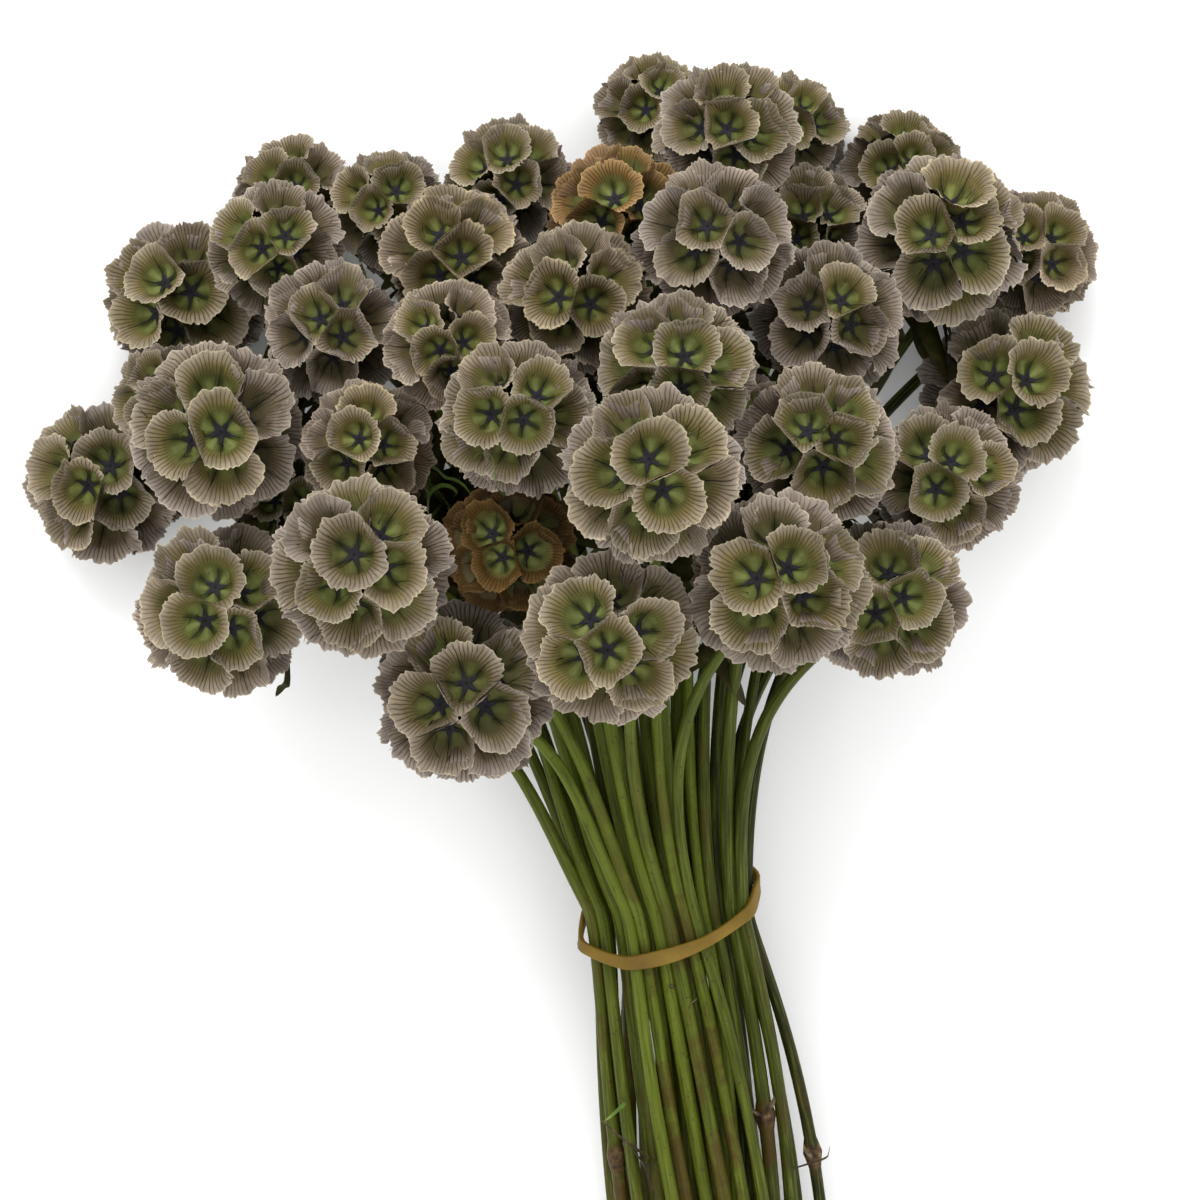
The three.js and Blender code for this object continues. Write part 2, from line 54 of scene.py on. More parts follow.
# The photograph's eye stands straight over this point, and sees PHOTO_WIDTH of the surface.
EYE = (7.445, 40.622, 1000.0)
PHOTO_WIDTH = 246.0

# The cups of a head: how many, and how large against the head, from the pole to the flank.
CUPS_ON_MIDDLE_HEAD = 27
FEWEST_CUPS, MOST_CUPS = 24, 30
MIDDLE_RADIUS = 14.3
CUP_AT_POLE, CUP_AT_FLANK = 0.44, 0.485
CUP_LIFT = 0.885
FLANK_DROP = 0.03
CUP_TILT = math.radians(9)
LAST_CUP = math.radians(158)
NECK_CLEARANCE = math.radians(30)
UNDER_NEIGHBOUR = 0.05
# A share of the neighbours press rim to rim. The others lie one over the other.
PRESSED_SHARE = 0.85
PRESSED_GAP = -0.12
RIM_RISE = 0.55
# Cups farther apart than MEETING of their joint size don't meet, and nearer than CROWDED can't
# press rim to rim.
MEETING, CROWDED = 1.1, 0.6

# A cup's rings, from its middle to its rim: radius, height, corners. A unit is the rim's radius.
RIBS = 44
CUP_RINGS = [
    (0.07, 0.0, RIBS // 4),
    (0.28, 0.02, RIBS // 2),
    (0.45, 0.09, RIBS),
    (0.54, 0.33, RIBS),
    (0.63, 0.57, RIBS),
    (0.80, 0.75, 2 * RIBS),
    (1.00, 0.84, 2 * RIBS),
]
CUP_HEIGHT = CUP_RINGS[-1][1]
CUP_PROFILE = np.array([(0, 0)] + [ring[:2] for ring in CUP_RINGS]).T
PLEAT_DEPTH = 0.006
TOOTH_LENGTH = 0.02
TEAR_SHARE, TEAR_DEPTH = 0.09, 0.10
RUFFLES = (5, 7, 9, 12, 17)
LOBE_HEIGHT = 0.06
# The star's middle, the ridges of its arms, its notches and its tips: how far out and how high.
STAR_OUTS = (0, 0.10, 0.13, 0.38)
STAR_HEIGHTS = (0.07, 0.10, 0.055, 0.13)
BRISTLE_ROOT, BRISTLE_WIDTH, BRISTLE_TAPER = 0.3, 0.018, 0.75
BRISTLE_LIFTS = (0.03, 0.12, 0.06)
# A foot's rings: radius, height and how deep the bowl's lobes are. The last is in the core.
FOOT_RINGS = [(0.43, 0.05, 0.06), (0.36, -0.09, 0), (0.24, -0.16, 0), (0.12, None, 0)]
FOOT_DEPTH = 0.40
CORE = 0.47
SURFACE_GAP = 0.05
# The fit of a sphere to a CAD head's rims narrows by these shares of its radius.
FIT_TOLERANCES = (0.15, 0.1, 0.05, 0.02, 0.01, 0.003, 0.001, 0.001)
NECK_REACH = 1.05

# The stems pass the tie in rows of pairs, as in the CAD model, whose named values these repeat.
TIE = np.array([20.945, -20.374, 24.0])
ROW_SIZES = (8, 12, 12, 6)
MIDDLE_ROW = (len(ROW_SIZES) - 1) / 2
ROW_PITCH = 3.3
PAIR_PITCH = 5.75
PAIR_HALF = 1.2
TIE_HALF_WIDTH = 17.0
ROUTE_SEED = 23
TIE_RADIUS, HEAD_RADIUS, CUT_RADIUS = 1.4, 1.2, 1.5
THINNEST = 0.84
TIP_GAP = 0.3
START_LENGTH = 26.0
SIDEWAYS = {"middle": -0.26, "edge": 0.25, "row": -0.03}
UPWARDS = {"middle": 0.17, "row": 0.06}
ARRIVAL = {"share": 0.22, "longest": 16.0, "lowest": 2.0}
THIRD = np.array([0.08, 0.42, 0.3])
FOURTH = np.array([0.42, 0.8, 0.68])
LOWER_START = 8.0
LOWER_SHARES = (0.25, 0.52, 0.8)
STRAY_SHARES = (0.88, 0.94, 1.0)
CUT_LENGTH = 125.0
CUT_SCATTER = {"x": 8.0, "y": 10.0, "z": 5.0}
CUT_DRIFT = 11.0
CUT_SPREAD = {"x": 0.82, "z": 1.12}
CUT_PARTING = 0.4
TIE_SLIDE = 1.2
CUT_SLIDE = 7.0
STRAYS = {(1, 10): 12.5, (1, 11): 17.5}
STEM_GAP = 0.6
BESIDE_HEAD = 0.5
NECK_RADIUS = 1.6
STEM_SAMPLES = 44
STEM_ROUNDS = 120
PAIR_SHARE = 0.2
HELD_SAMPLES = 2
PUSH_SHARE = 0.5
LEAST_WEIGHT = 0.15
UPPER_STEPS = (0, 0.13, 0.3, 0.48, 0.66, 0.84, 1)
LOWER_STEPS = (1, 0.66, 0.33)
BAND = {"width": 3.2, "thickness": 1.0, "gap": 0.1}
BAND_SLANT = {"middle": TIE[1] - 1.8, "right_rise": 0.25, "front_drop": 1.15}
BAND_MARGIN = 0.2

STEM_SIDES = 12
# Swollen leaf joints: where they lie, how thick they are, and how far they reach along the stem.
JOINTS = [((51.0, -72.0), 0.6, 2.4), ((39.7, -62.0), 0.5, 2.6), ((10.5, -72.0), 0.4, 2.4),
          ((24.0, -118.0), 0.4, 2.2)]

# Small leaves and tendrils: their width, their finish and the points that they run through. The
# first point moves to the nearest stem.
FRESH, DARK, DRY = 0, 1, 2
LEAVES = [
    (0.9, FRESH, [
        (-9, 62, 72), (-9.3, 63, 76), (-10.2, 60.6, 84), (-11.4, 61, 91), (-11.9, 63, 95.5),
        (-12.1, 65.4, 98.5), (-12.6, 67.2, 99.5), (-13.9, 67.8, 99.5), (-15.2, 67.6, 98.5),
        (-16, 66.6, 97.3),
    ]),
    (0.9, FRESH, [
        (-24.5, 58.5, 36), (-25.8, 57, 44), (-26, 59, 52), (-25.4, 61.4, 55), (-23.4, 62.8, 56),
        (-21.4, 62.5, 56), (-20.3, 61.4, 55.5), (-21, 60.4, 54.5),
    ]),
    (1.1, FRESH, [
        (-26, 62, 36), (-26.5, 66.5, 46), (-24.5, 66.2, 54), (-22.5, 64.4, 56), (-20.6, 63.9, 56),
        (-18.8, 62.7, 55), (-17.6, 61, 53),
    ]),
    (1.8, DARK, [
        (-24.5, 58.5, 36), (-22, 58, 44), (-22.5, 60, 50), (-25, 63, 52), (-27.5, 64.5, 51),
    ]),
    (1.4, FRESH, [(-4, 64, 60), (-5, 62.5, 67), (-4.2, 63.8, 70), (-2.8, 65.2, 71)]),
    (1.5, FRESH, [(44, 30, 20), (45.5, 29.5, 29), (47.2, 29.2, 33), (49.6, 28.2, 34)]),
    (2.2, DARK, [(-53, 29, 38), (-54.3, 25.4, 36), (-55.6, 23.3, 35.5), (-56.7, 21.5, 35)]),
    (0.7, FRESH, [(14, -58, 26), (12.5, -59.5, 28.5), (10, -61.8, 28.5), (8.2, -63.4, 27.5)]),
    (1.4, DRY, [(16.5, -72.4, 24), (15.4, -69.4, 27), (11, -66, 28), (7.6, -63, 26.5)]),
    (2.4, DRY, [(15.5, -69.4, 24), (16.3, -72, 27.5), (17.6, -75.5, 28), (18.6, -79, 27)]),
    (1.0, DRY, [(51, -72, 20), (49.6, -70.8, 22.5), (48.6, -69.6, 22.8), (48.2, -68.4, 22.4)]),
    (1.0, DRY, [(51, -72.5, 20), (52.2, -71.4, 22.3), (53.2, -70.2, 22.6), (53.5, -68.8, 22)]),
    (1.0, DRY, [(39.7, -62, 24), (41, -61, 26), (42, -59.6, 26.4), (42.2, -58.4, 26)]),
    (1.0, DRY, [(39.7, -62.8, 24), (38.4, -61.8, 26), (37.6, -60.6, 26.4), (37.2, -59.4, 26)]),
]
# Tufts of dry fuzz: where each sits on a stem, its size and how many hairs it has.
TUFTS = [((22.4, -35.8), 1.5, 18), ((25.4, -38.8), 1.4, 14), ((30.7, -29.5), 1.3, 14),
         ((16.5, -72.4), 2.2, 28)]
# Places deep between the heads, where small dark leaves spring from the nearest stem.
LEAFY_GAPS = [
    (1.5, 83, 34), (4, 51, 46), (-26, 73, 34), (-50, 72, 28), (39, 62, 36), (60, 58, 30),
    (73, 95, 24), (-20, 42, 42), (12, 84, 38), (-2, 88, 36), (26, 44, 44), (-20, 60, 38),
    (-2, 66, 44), (14, 60, 46), (24, 76, 40), (-39, 107, 34), (-50, 81, 34), (-27, 78, 34),
    (-24, 65, 34), (-26, 58, 34), (7, 79, 34), (17, 103, 34), (37, 93, 34), (42, 85, 34),
    (35, 63, 34), (62, 60, 34), (-13, 38, 34), (-68, 56, 34), (27, 34, 34), (6, 51, 38),
    (-12, 38, 38), (57, 56, 38), (-50, 79, 38), (-24, 62, 38),
]
LEAVES_IN_A_GAP = 8
GAP_LEAF = {"length": (10, 18), "width": (3, 5), "scatter": 3.5, "bend": 2.5, "flatness": 0.4}
HAIR_WIDTH = 0.22

BAND_STEPS = 120
BAND_SMOOTHING = 10

# Heads whose cups are paler inside, and by how much. Heads whose cups are browner, and how brown
# the cups of these and of all others are.
GREYER = {"head_07": 0.35, "head_08": 0.2, "head_17": 0.4, "head_20": 0.15, "head_31": 0.25,
          "head_27": 0.2}
BROWNER = {"head_06", "head_14", "head_15", "head_18", "head_21"}
WARM, COOL = 1.0, 0.3

# Colours as (place, red, green, blue), 0 to 255. A cup's run from its middle to its rim, for
# fresh cups and for old or outer ones; its last, palest stop is a painted highlight along the rim.
# A stem's run from its cut end to its head.
GREEN_CUP = [
    (0.00, 76, 78, 56), (0.14, 86, 93, 56), (0.27, 110, 119, 65), (0.46, 108, 114, 63),
    (0.55, 106, 102, 58), (0.65, 116, 106, 72), (0.76, 127, 118, 95), (0.88, 141, 131, 113),
    (0.955, 148, 140, 120), (1.00, 182, 173, 149),
]
PALE_CUP = [
    (0.00, 80, 73, 63), (0.20, 76, 69, 51), (0.46, 89, 81, 59), (0.58, 106, 96, 77),
    (0.70, 128, 118, 107), (0.86, 146, 136, 128), (0.95, 151, 142, 134), (1.00, 184, 174, 159),
]
STEM_GREEN = [(0.0, 52, 52, 10), (0.2, 58, 63, 11), (0.5, 66, 76, 14), (1.0, 79, 91, 31)]
WOODY = [(0.35, 42, 31, 21), (0.55, 81, 60, 38), (0.72, 117, 104, 71)]
FOOT_BROWN = [(0.3, 50, 45, 24), (0.5, 74, 70, 38), (0.75, 104, 92, 64)]
DRY_BROWN = [(0.3, 36, 27, 18), (0.5, 70, 54, 34), (0.75, 112, 96, 70)]
PITH = [(0.3, 150, 150, 104), (0.7, 196, 192, 150)]
RUBBER = [(0.3, 91, 69, 14), (0.55, 109, 85, 19), (0.75, 126, 101, 28)]
FLOOR_WHITE = [(0.0, 250, 250, 250), (1.0, 253, 253, 253)]

# The studio. A lamp has a name, a place, a diameter and a power in watts.
FLOOR_HALF = 3000.0
WORLD_STRENGTH = 1.36
LAMPS = [("top", (-600, 2200, 2400), 1800, 50), ("front", (700, -1300, 2500), 1700, 6)]
LAMP_AIM = (0, 20, 40)
DRAW_SEED = 5


def unit(vector):
    return vector / np.linalg.norm(vector, axis=-1, keepdims=True)


def side_of(axis):
    """A unit vector square to axis."""
    other = np.array([1.0, 0.0, 0.0]) if abs(axis[0]) < 0.8 else np.array([0.0, 1.0, 0.0])
    return unit(np.cross(axis, other))


def square_pair(axis):
    """Two unit vectors square to axis and to each other."""
    across = side_of(axis)
    return across, np.cross(axis, across)


def turned(angle, across, other):
    """The direction at an angle from across, towards other."""
    return math.cos(angle) * across + math.sin(angle) * other


def run_length(line):
    """The length along a line up to each of its points."""
    return np.concatenate([[0], np.cumsum(np.linalg.norm(np.diff(line, axis=0), axis=1))])


def smoothstep(low, high, value):
    share = np.clip((value - low) / (high - low), 0, 1)
    return share * share * (3 - 2 * share)


def new_piece(name, points, faces, materials, face_materials=None, attributes=None):
    """A mesh object. faces is a list of (count, corners) arrays, all faces of one size in each."""
    mesh = bpy.data.meshes.new(name)
    corners = np.concatenate([block.reshape(-1) for block in faces])
    sizes = np.concatenate([np.full(len(block), block.shape[1]) for block in faces])
    starts = np.concatenate([[0], np.cumsum(sizes)[:-1]])
    mesh.vertices.add(len(points))
    mesh.vertices.foreach_set("co", (points * MILLIMETRE).astype(np.float32).reshape(-1))
    mesh.loops.add(len(corners))
    mesh.loops.foreach_set("vertex_index", corners.astype(np.int32))
    mesh.polygons.add(len(sizes))
    mesh.polygons.foreach_set("loop_start", starts.astype(np.int32))
    mesh.polygons.foreach_set("use_smooth", np.ones(len(sizes), bool))
    for material in materials:
        mesh.materials.append(material)
    if face_materials is not None:
        mesh.polygons.foreach_set("material_index", face_materials.astype(np.int32))
    for key, values in (attributes or {}).items():
        layer = mesh.attributes.new(key, "FLOAT_VECTOR", "POINT")
        layer.data.foreach_set("vector", values.astype(np.float32).reshape(-1))
    mesh.update(calc_edges=True)
    mesh.validate()
    piece = bpy.data.objects.new(name, mesh)
    bpy.context.scene.collection.objects.link(piece)
    return piece


def ring_faces(first, first_count, second, second_count):
    """Faces between two closed rings. The second has as many corners or twice as many."""
    here = np.arange(first_count)
    ahead = (here + 1) % first_count
    if first_count == second_count:
        return [np.stack([first + here, first + ahead, second + ahead, second + here], 1)]
    left, middle = second + 2 * here, second + 2 * here + 1
    right = second + (2 * here + 2) % second_count
    return [
        np.stack([first + here, middle, left], 1),
        np.stack([first + here, first + ahead, middle], 1),
        np.stack([first + ahead, right, middle], 1),
    ]


def stacked_rings(first, sides, rings):
    """Faces along rings of sides corners each, that follow each other from corner first."""
    starts = first + sides * np.arange(rings)
    return np.concatenate([ring_faces(low, sides, high, sides)[0]
                           for low, high in zip(starts[:-1], starts[1:])])


class Pile:
    """Points and faces of several forms, gathered for one piece."""

    def __init__(self):
        self.points, self.faces, self.kinds, self.count = [], [], [], 0

    def add(self, points, blocks, kinds):
        """Adds a form. Each block of its faces has its own kind of material."""
        self.points.append(points)
        for block, kind in zip(blocks, kinds):
            self.faces.append(block + self.count)
            self.kinds.append(np.full(len(block), kind))
        self.count += len(points)

    def piece(self, name, materials, attributes=None):
        return new_piece(name, np.concatenate(self.points), self.faces, materials,
                         np.concatenate(self.kinds), attributes)


def cad_points(node):
    """A CAD node's different vertices, in millimetres."""
    mesh = frame["nodes"][node].data
    points = np.empty(3 * len(mesh.vertices), np.float32)
    mesh.vertices.foreach_get("co", points)
    return np.unique(np.round(points.reshape(-1, 3).astype(float) / MILLIMETRE, 4), axis=0)


def fitted_sphere(points):
    """Centre and radius of the sphere that most of the points lie on."""
    centre = (points.min(0) + points.max(0)) / 2
    radius = np.percentile(np.linalg.norm(points - centre, axis=1), 60)
    for tolerance in FIT_TOLERANCES:
        reach = np.linalg.norm(points - centre, axis=1)
        rim = points[abs(reach / radius - 1) < tolerance]
        system = np.column_stack([2 * rim, np.ones(len(rim))])
        found = np.linalg.lstsq(system, (rim ** 2).sum(1), rcond=None)[0]
        centre, radius = found[:3], math.sqrt(found[3] + found[:3] @ found[:3])
    return centre, radius


def read_head(node):
    """A CAD head's centre, radius, neck's end, the way its neck points and the way it faces."""
    points = cad_points(node)
    centre, radius = fitted_sphere(points)
    tip = points[np.linalg.norm(points - centre, axis=1) > NECK_REACH * radius].mean(0)
    axis = unit(centre - tip)
    return {"node": node, "centre": centre, "radius": radius, "axis": axis, "base": tip,
            "facing": unit(axis + UP), "grey": GREYER.get(node, 0),
            "warmth": WARM if node in BROWNER else COOL}


def cup_template():
    """One cup's corners as (angle, radius, rib, ring) rows, and its faces."""
    rows, faces, starts = [(0.0, 0.0, 0.0, 0)], [], []
    for ring, (radius, _, count) in enumerate(CUP_RINGS, 1):
        starts.append(len(rows))
        for corner in range(count):
            rib = corner % 2 if count == 2 * RIBS else 0
            rows.append((2 * math.pi * corner / count, radius, rib, ring))
    first = np.arange(CUP_RINGS[0][2])
    faces.append(np.stack([np.zeros_like(first), 1 + first, 1 + (first + 1) % len(first)], 1))
    for ring in range(len(CUP_RINGS) - 1):
        counts = CUP_RINGS[ring][2], CUP_RINGS[ring + 1][2]
        faces += ring_faces(starts[ring], counts[0], starts[ring + 1], counts[1])
    return np.array(rows), faces


def cup_directions(head, draw):
    """A spiral of directions from the way the head faces, clear of its neck."""
    wanted = CUPS_ON_MIDDLE_HEAD * (head["radius"] / MIDDLE_RADIUS) ** 0.7
    count = int(np.clip(round(wanted), FEWEST_CUPS, MOST_CUPS))
    across, other = square_pair(head["facing"])
    spin, hand = draw.uniform(0, 2 * math.pi), draw.choice([-1, 1])
    directions = []
    for place in range(count):
        share = (place + 0.45) / count
        tilt = math.acos(1 - share * (1 - math.cos(LAST_CUP))) + draw.normal(0, 0.02)
        turn = spin + hand * place * GOLDEN_ANGLE + draw.normal(0, 0.03) / max(math.sin(tilt), 0.3)
        direction = turned(tilt, head["facing"], turned(turn, across, other))
        if direction @ -head["axis"] < math.cos(NECK_CLEARANCE):
            directions.append((tilt, direction))
    return directions


class Cup:
    """One funnel of a head: where it stands, its size, and how its wall waves and folds."""

    def __init__(self, head, tilt, direction, draw):
        flank = min(tilt / math.radians(100), 1)
        share = CUP_AT_POLE + (CUP_AT_FLANK - CUP_AT_POLE) * flank
        self.size = head["radius"] * share * draw.uniform(0.93, 1.05)
        lift = head["radius"] * (CUP_LIFT - FLANK_DROP * flank + draw.uniform(-0.012, 0.012))
        to_pole = unit(head["facing"] - (head["facing"] @ direction) * direction + 1e-9 * UP)
        tilted = CUP_TILT * min(tilt / math.radians(35), 1)
        lean = turned(tilted, direction, to_pole)
        self.axis = unit(lean + 0.05 * draw.normal(size=3))
        spin = draw.uniform(0, 2 * math.pi)
        self.across = turned(spin, *square_pair(self.axis))
        self.other = np.cross(self.axis, self.across)
        self.floor = head["centre"] + direction * lift - self.axis * self.size * CUP_HEIGHT
        self.waves = draw.uniform(0, 2 * math.pi, 4)
        self.ruffles = draw.uniform(0, 2 * math.pi, (2, len(RUFFLES)))
        self.ruffled = draw.uniform(0.4, 1.0) + 0.5 * flank
        self.folds = [
            (draw.uniform(0, 2 * math.pi), draw.uniform(0.15, 0.3), draw.uniform(0.04, 0.12),
             draw.uniform(-0.04, 0.10))
            for _ in range(draw.integers(0, 3))
        ]
        age = 1.05 - head["grey"] - tilt / math.radians(95) + draw.normal(0, 0.12)
        self.age = float(np.clip(age, 0, 1))
        self.rank = tilt + draw.normal(0, math.radians(7))
        self.tones = np.array([draw.uniform(), 0.55 * head["warmth"] + 0.45 * draw.uniform()])
        self.rib_share = draw.uniform(0.55, 1.0)
        self.middle = self.floor + self.axis * self.size * CUP_HEIGHT
        bristle = draw.uniform(0.45, 0.6) + 0.32 * (1 - self.age)
        self.bristles = bristle * draw.uniform(0.85, 1.15, 5)
        self.pressed_by = []

    def wall(self, angle, radius):
        """The wall's distance from the axis and its height, at an angle and a place from 0 to 1."""
        outer = smoothstep(0.42, 1.0, radius)
        waves = self.waves
        bulge = 0.045 * np.sin(2 * angle + waves[0]) + 0.025 * np.sin(3 * angle + waves[1])
        sway = 0.04 * np.sin(2 * angle + waves[2]) + 0.03 * np.sin(4 * angle + waves[3])
        out = radius * (1 + outer * bulge)
        up = np.interp(radius, *CUP_PROFILE) + outer * sway
        edge = self.ruffled * smoothstep(0.6, 1.0, radius)
        for number, turn, lift in zip(RUFFLES, *self.ruffles):
            out = out + 0.016 * edge * np.sin(number * angle + turn)
            up = up + 0.026 * edge * np.sin(number * angle + lift)
        for middle, width, inward, upward in self.folds:
            gap = (angle - middle + math.pi) % (2 * math.pi) - math.pi
            fold = outer ** 2 * np.exp(-(gap / width) ** 2)
            out = out - inward * fold
            up = up + upward * fold
        return out, up

    def placed(self, angle, out, up):
        """Points in place, from the angle, the distance from the axis and the height."""
        east, north = out * np.cos(angle), out * np.sin(angle)
        level = np.outer(east, self.across) + np.outer(north, self.other)
        return self.floor + self.size * (level + np.outer(up, self.axis))

    def press_under(self, points):
        """Moves another cup's points to below this one's wall, where they come through it."""
        local = (points - self.floor) / self.size
        across, other, up = local @ self.across, local @ self.other, local @ self.axis
        radius = np.hypot(across, other)
        _, wall = self.wall(np.arctan2(other, across), np.minimum(radius, 1))
        lobes = 1.3 * LOBE_HEIGHT * (1 - smoothstep(0.5, 0.65, radius))
        excess = np.where(radius < 1.03, up - (wall - lobes - UNDER_NEIGHBOUR), 0)
        return points - np.outer(np.maximum(excess, 0) * self.size, self.axis)

    def press_rim(self, points):
        """Bends the rim up where it meets a neighbour's rim face to face."""
        for other in self.pressed_by:
            away = unit(other.middle - self.middle)
            reach = (other.middle - self.middle) @ away * self.size / (self.size + other.size)
            excess = np.maximum((points - self.middle) @ away - reach + PRESSED_GAP, 0)
            points = points - np.outer(excess, away) + np.outer(excess * RIM_RISE, self.axis)
        return points

    def corners(self, draw):
        """The cup's corners in place, and their two attributes."""
        angle, radius, rib, ring = TEMPLATE.T
        out, up = self.wall(angle, radius)
        outer = smoothstep(0.5, 0.9, radius)
        up = up + outer * PLEAT_DEPTH * (1 - 2 * rib)
        tooth = np.where(rib > 0.5, -TOOTH_LENGTH, 0.01) + draw.normal(0, 0.018, len(angle))
        torn = draw.uniform(size=len(angle)) < TEAR_SHARE
        tooth -= TEAR_DEPTH * torn * draw.uniform(0.3, 1, len(angle))
        out = out + np.where(ring == len(CUP_RINGS), tooth, 0)
        bowl = smoothstep(0.1, 0.3, radius) * (1 - smoothstep(0.47, 0.56, radius))
        up = up - LOBE_HEIGHT * bowl * np.cos(5 * angle)
        share = np.full(len(angle), self.rib_share)
        cup = np.column_stack([radius * np.cos(angle), radius * np.sin(angle), share])
        tint = np.tile([self.age, *self.tones], (len(angle), 1))
        return self.press_rim(self.placed(angle, out, up)), cup, tint


def star_points(cup):
    """The dark star at the bottom of a cup, whose five arms run on as thin bristles."""
    tips = 2 * math.pi * np.arange(5) / 5
    notches = tips + math.pi / 5
    angles = np.concatenate([[0], tips, notches, tips])
    outs = np.repeat(STAR_OUTS, [1, 5, 5, 5])
    ups = np.repeat(STAR_HEIGHTS, [1, 5, 5, 5])
    faces = []
    for arm in range(5):
        ridge, notch, tip = 1 + arm, 6 + arm, 11 + arm
        before = 6 + (arm - 1) % 5
        faces += [(0, ridge, notch), (0, before, ridge), (ridge, tip, notch), (before, tip, ridge)]
    bristle_angles, bristle_outs, bristle_ups = [], [], []
    for arm, tip in enumerate(tips):
        reach = cup.bristles[arm]
        places = (BRISTLE_ROOT, 0.5 * (BRISTLE_ROOT + reach), reach)
        for out, lift in zip(places, BRISTLE_LIFTS):
            share = (out - BRISTLE_ROOT) / (reach - BRISTLE_ROOT)
            half = BRISTLE_WIDTH * (1 - share * BRISTLE_TAPER) / out
            rise = float(np.interp(out, *CUP_PROFILE)) + lift
            bristle_angles += [tip - half, tip, tip + half]
            bristle_outs += [out] * 3
            bristle_ups += [rise, rise + 0.02, rise]
        first = 16 + 9 * arm
        for step in (0, 3):
            a = first + step
            faces += [(a, a + 1, a + 3), (a + 1, a + 4, a + 3),
                      (a + 1, a + 2, a + 4), (a + 2, a + 5, a + 4)]
    angles = np.concatenate([angles, bristle_angles])
    outs = np.concatenate([outs, bristle_outs])
    ups = np.concatenate([ups, bristle_ups])
    place = np.column_stack([outs * np.cos(angles), outs * np.sin(angles), np.zeros(len(outs))])
    return cup.placed(angles, outs, ups), np.array(faces), place


def foot_points(head, cup, sides=10):
    """The foot of a cup, a cone from under its bowl, whose lobes it follows, into the core."""
    points = []
    for radius, height, lobe in FOOT_RINGS:
        if height is None:
            inward = unit(cup.floor - head["centre"])
            middle = head["centre"] + inward * head["radius"] * FOOT_DEPTH
        else:
            middle = cup.floor + cup.axis * cup.size * height
        for side in range(sides):
            angle = 2 * math.pi * side / sides
            out = radius * turned(angle, cup.across, cup.other)
            points.append(middle + cup.size * (out - lobe * math.cos(5 * angle) * cup.axis))
    return np.array(points), stacked_rings(0, sides, len(FOOT_RINGS))


def core_points(head, around=14, rows=8):
    """A small round core, which the cups' feet stand in."""
    pole = head["axis"]
    across, other = square_pair(pole)
    reach = CORE * head["radius"]
    points = [head["centre"] + pole * CORE * head["radius"]]
    for row in range(1, rows):
        for step in range(around):
            out = turned(2 * math.pi * step / around, across, other)
            points.append(head["centre"] + reach * turned(math.pi * row / rows, pole, out))
    points.append(head["centre"] - pole * CORE * head["radius"])
    here = np.arange(around)
    ahead = (here + 1) % around
    last = len(points) - 1
    under = last - around
    ends = np.concatenate([
        np.stack([np.zeros_like(here), 1 + here, 1 + ahead], 1),
        np.stack([np.full_like(here, last), under + ahead, under + here], 1),
    ])
    return np.array(points), stacked_rings(1, around, rows - 1), ends


def bract_points(head, draw, count=9):
    """The narrow green bracts under the head, spread round the neck."""
    down = -head["axis"]
    across, other = square_pair(down)
    root = head["centre"] + down * head["radius"] * 0.80
    points, faces = [], []
    for place in range(count):
        angle = 2 * math.pi * (place + draw.uniform(-0.2, 0.2)) / count
        out = turned(angle, across, other)
        sideways = np.cross(out, down)
        length = head["radius"] * draw.uniform(0.5, 0.72)
        width = head["radius"] * draw.uniform(0.075, 0.1)
        first = len(points)
        steps = np.linspace(0, 1, 6)
        for step in steps:
            droop = 0.12 * step - 0.26 * step ** 2
            middle = root + out * (1.0 + length * step) + down * head["radius"] * droop
            half = width * math.sin(math.pi * (0.18 + 0.82 * step)) + 0.02
            for side in (-1, 0, 1):
                points.append(middle + sideways * side * half - down * (0.25 * (side == 0)))
        for step in range(len(steps) - 1):
            for side in (0, 1):
                a = first + 3 * step + side
                faces.append((a, a + 1, a + 4, a + 3))
    return np.array(points), np.array(faces)


def pair_up(cups, draw):
    """Settles which neighbours press rim to rim, and returns the cups that lie over each cup."""
    over = []
    for index, cup in enumerate(cups):
        above = []
        for other in cups[:index]:
            distance = np.linalg.norm(other.middle - cup.middle)
            if distance > MEETING * (other.size + cup.size):
                continue
            if distance > CROWDED * (other.size + cup.size) and draw.uniform() < PRESSED_SHARE:
                cup.pressed_by.append(other)
                other.pressed_by.append(cup)
            else:
                above.append(other)
        over.append(above)
    return over


def dressed_head(head, materials, draw):
    """One head: its cups with their stars and feet, its core and its bracts."""
    pile, places, tints = Pile(), [], []

    def add(points, blocks, kind, place=None, tint=None):
        pile.add(points, blocks, [kind] * len(blocks))
        places.append(np.zeros((len(points), 3)) if place is None else place)
        tints.append(np.zeros((len(points), 3)) if tint is None else tint)

    cups = [Cup(head, tilt, direction, draw) for tilt, direction in cup_directions(head, draw)]
    cups.sort(key=lambda cup: cup.rank)
    for cup, above in zip(cups, pair_up(cups, draw)):
        walls, place, tint = cup.corners(draw)
        for other in above:
            walls = other.press_under(walls)
        add(walls, TEMPLATE_FACES, 0, place, tint)
        star, star_faces, place = star_points(cup)
        add(star, [star_faces], 1, place)
        foot, foot_faces = foot_points(head, cup)
        add(foot, [foot_faces], 2, tint=np.tile(tint[0], (len(foot), 1)))
    core, quads, ends = core_points(head)
    add(core, [quads, ends], 2)
    bracts, bract_faces = bract_points(head, draw)
    add(bracts, [bract_faces], 3)
    for points in pile.points:
        points[:, 2] = np.maximum(points[:, 2], SURFACE_GAP)
    return pile.piece(f"{head['node']}_cups", materials,
                      {"cup": np.concatenate(places), "tint": np.concatenate(tints)})


def repeated_draws(seed):
    """The CAD model's own series of draws from 0 to 1."""
    state = seed
    while True:
        state = (state * 1664525 + 1013904223) % 4294967296
        yield state / 4294967296


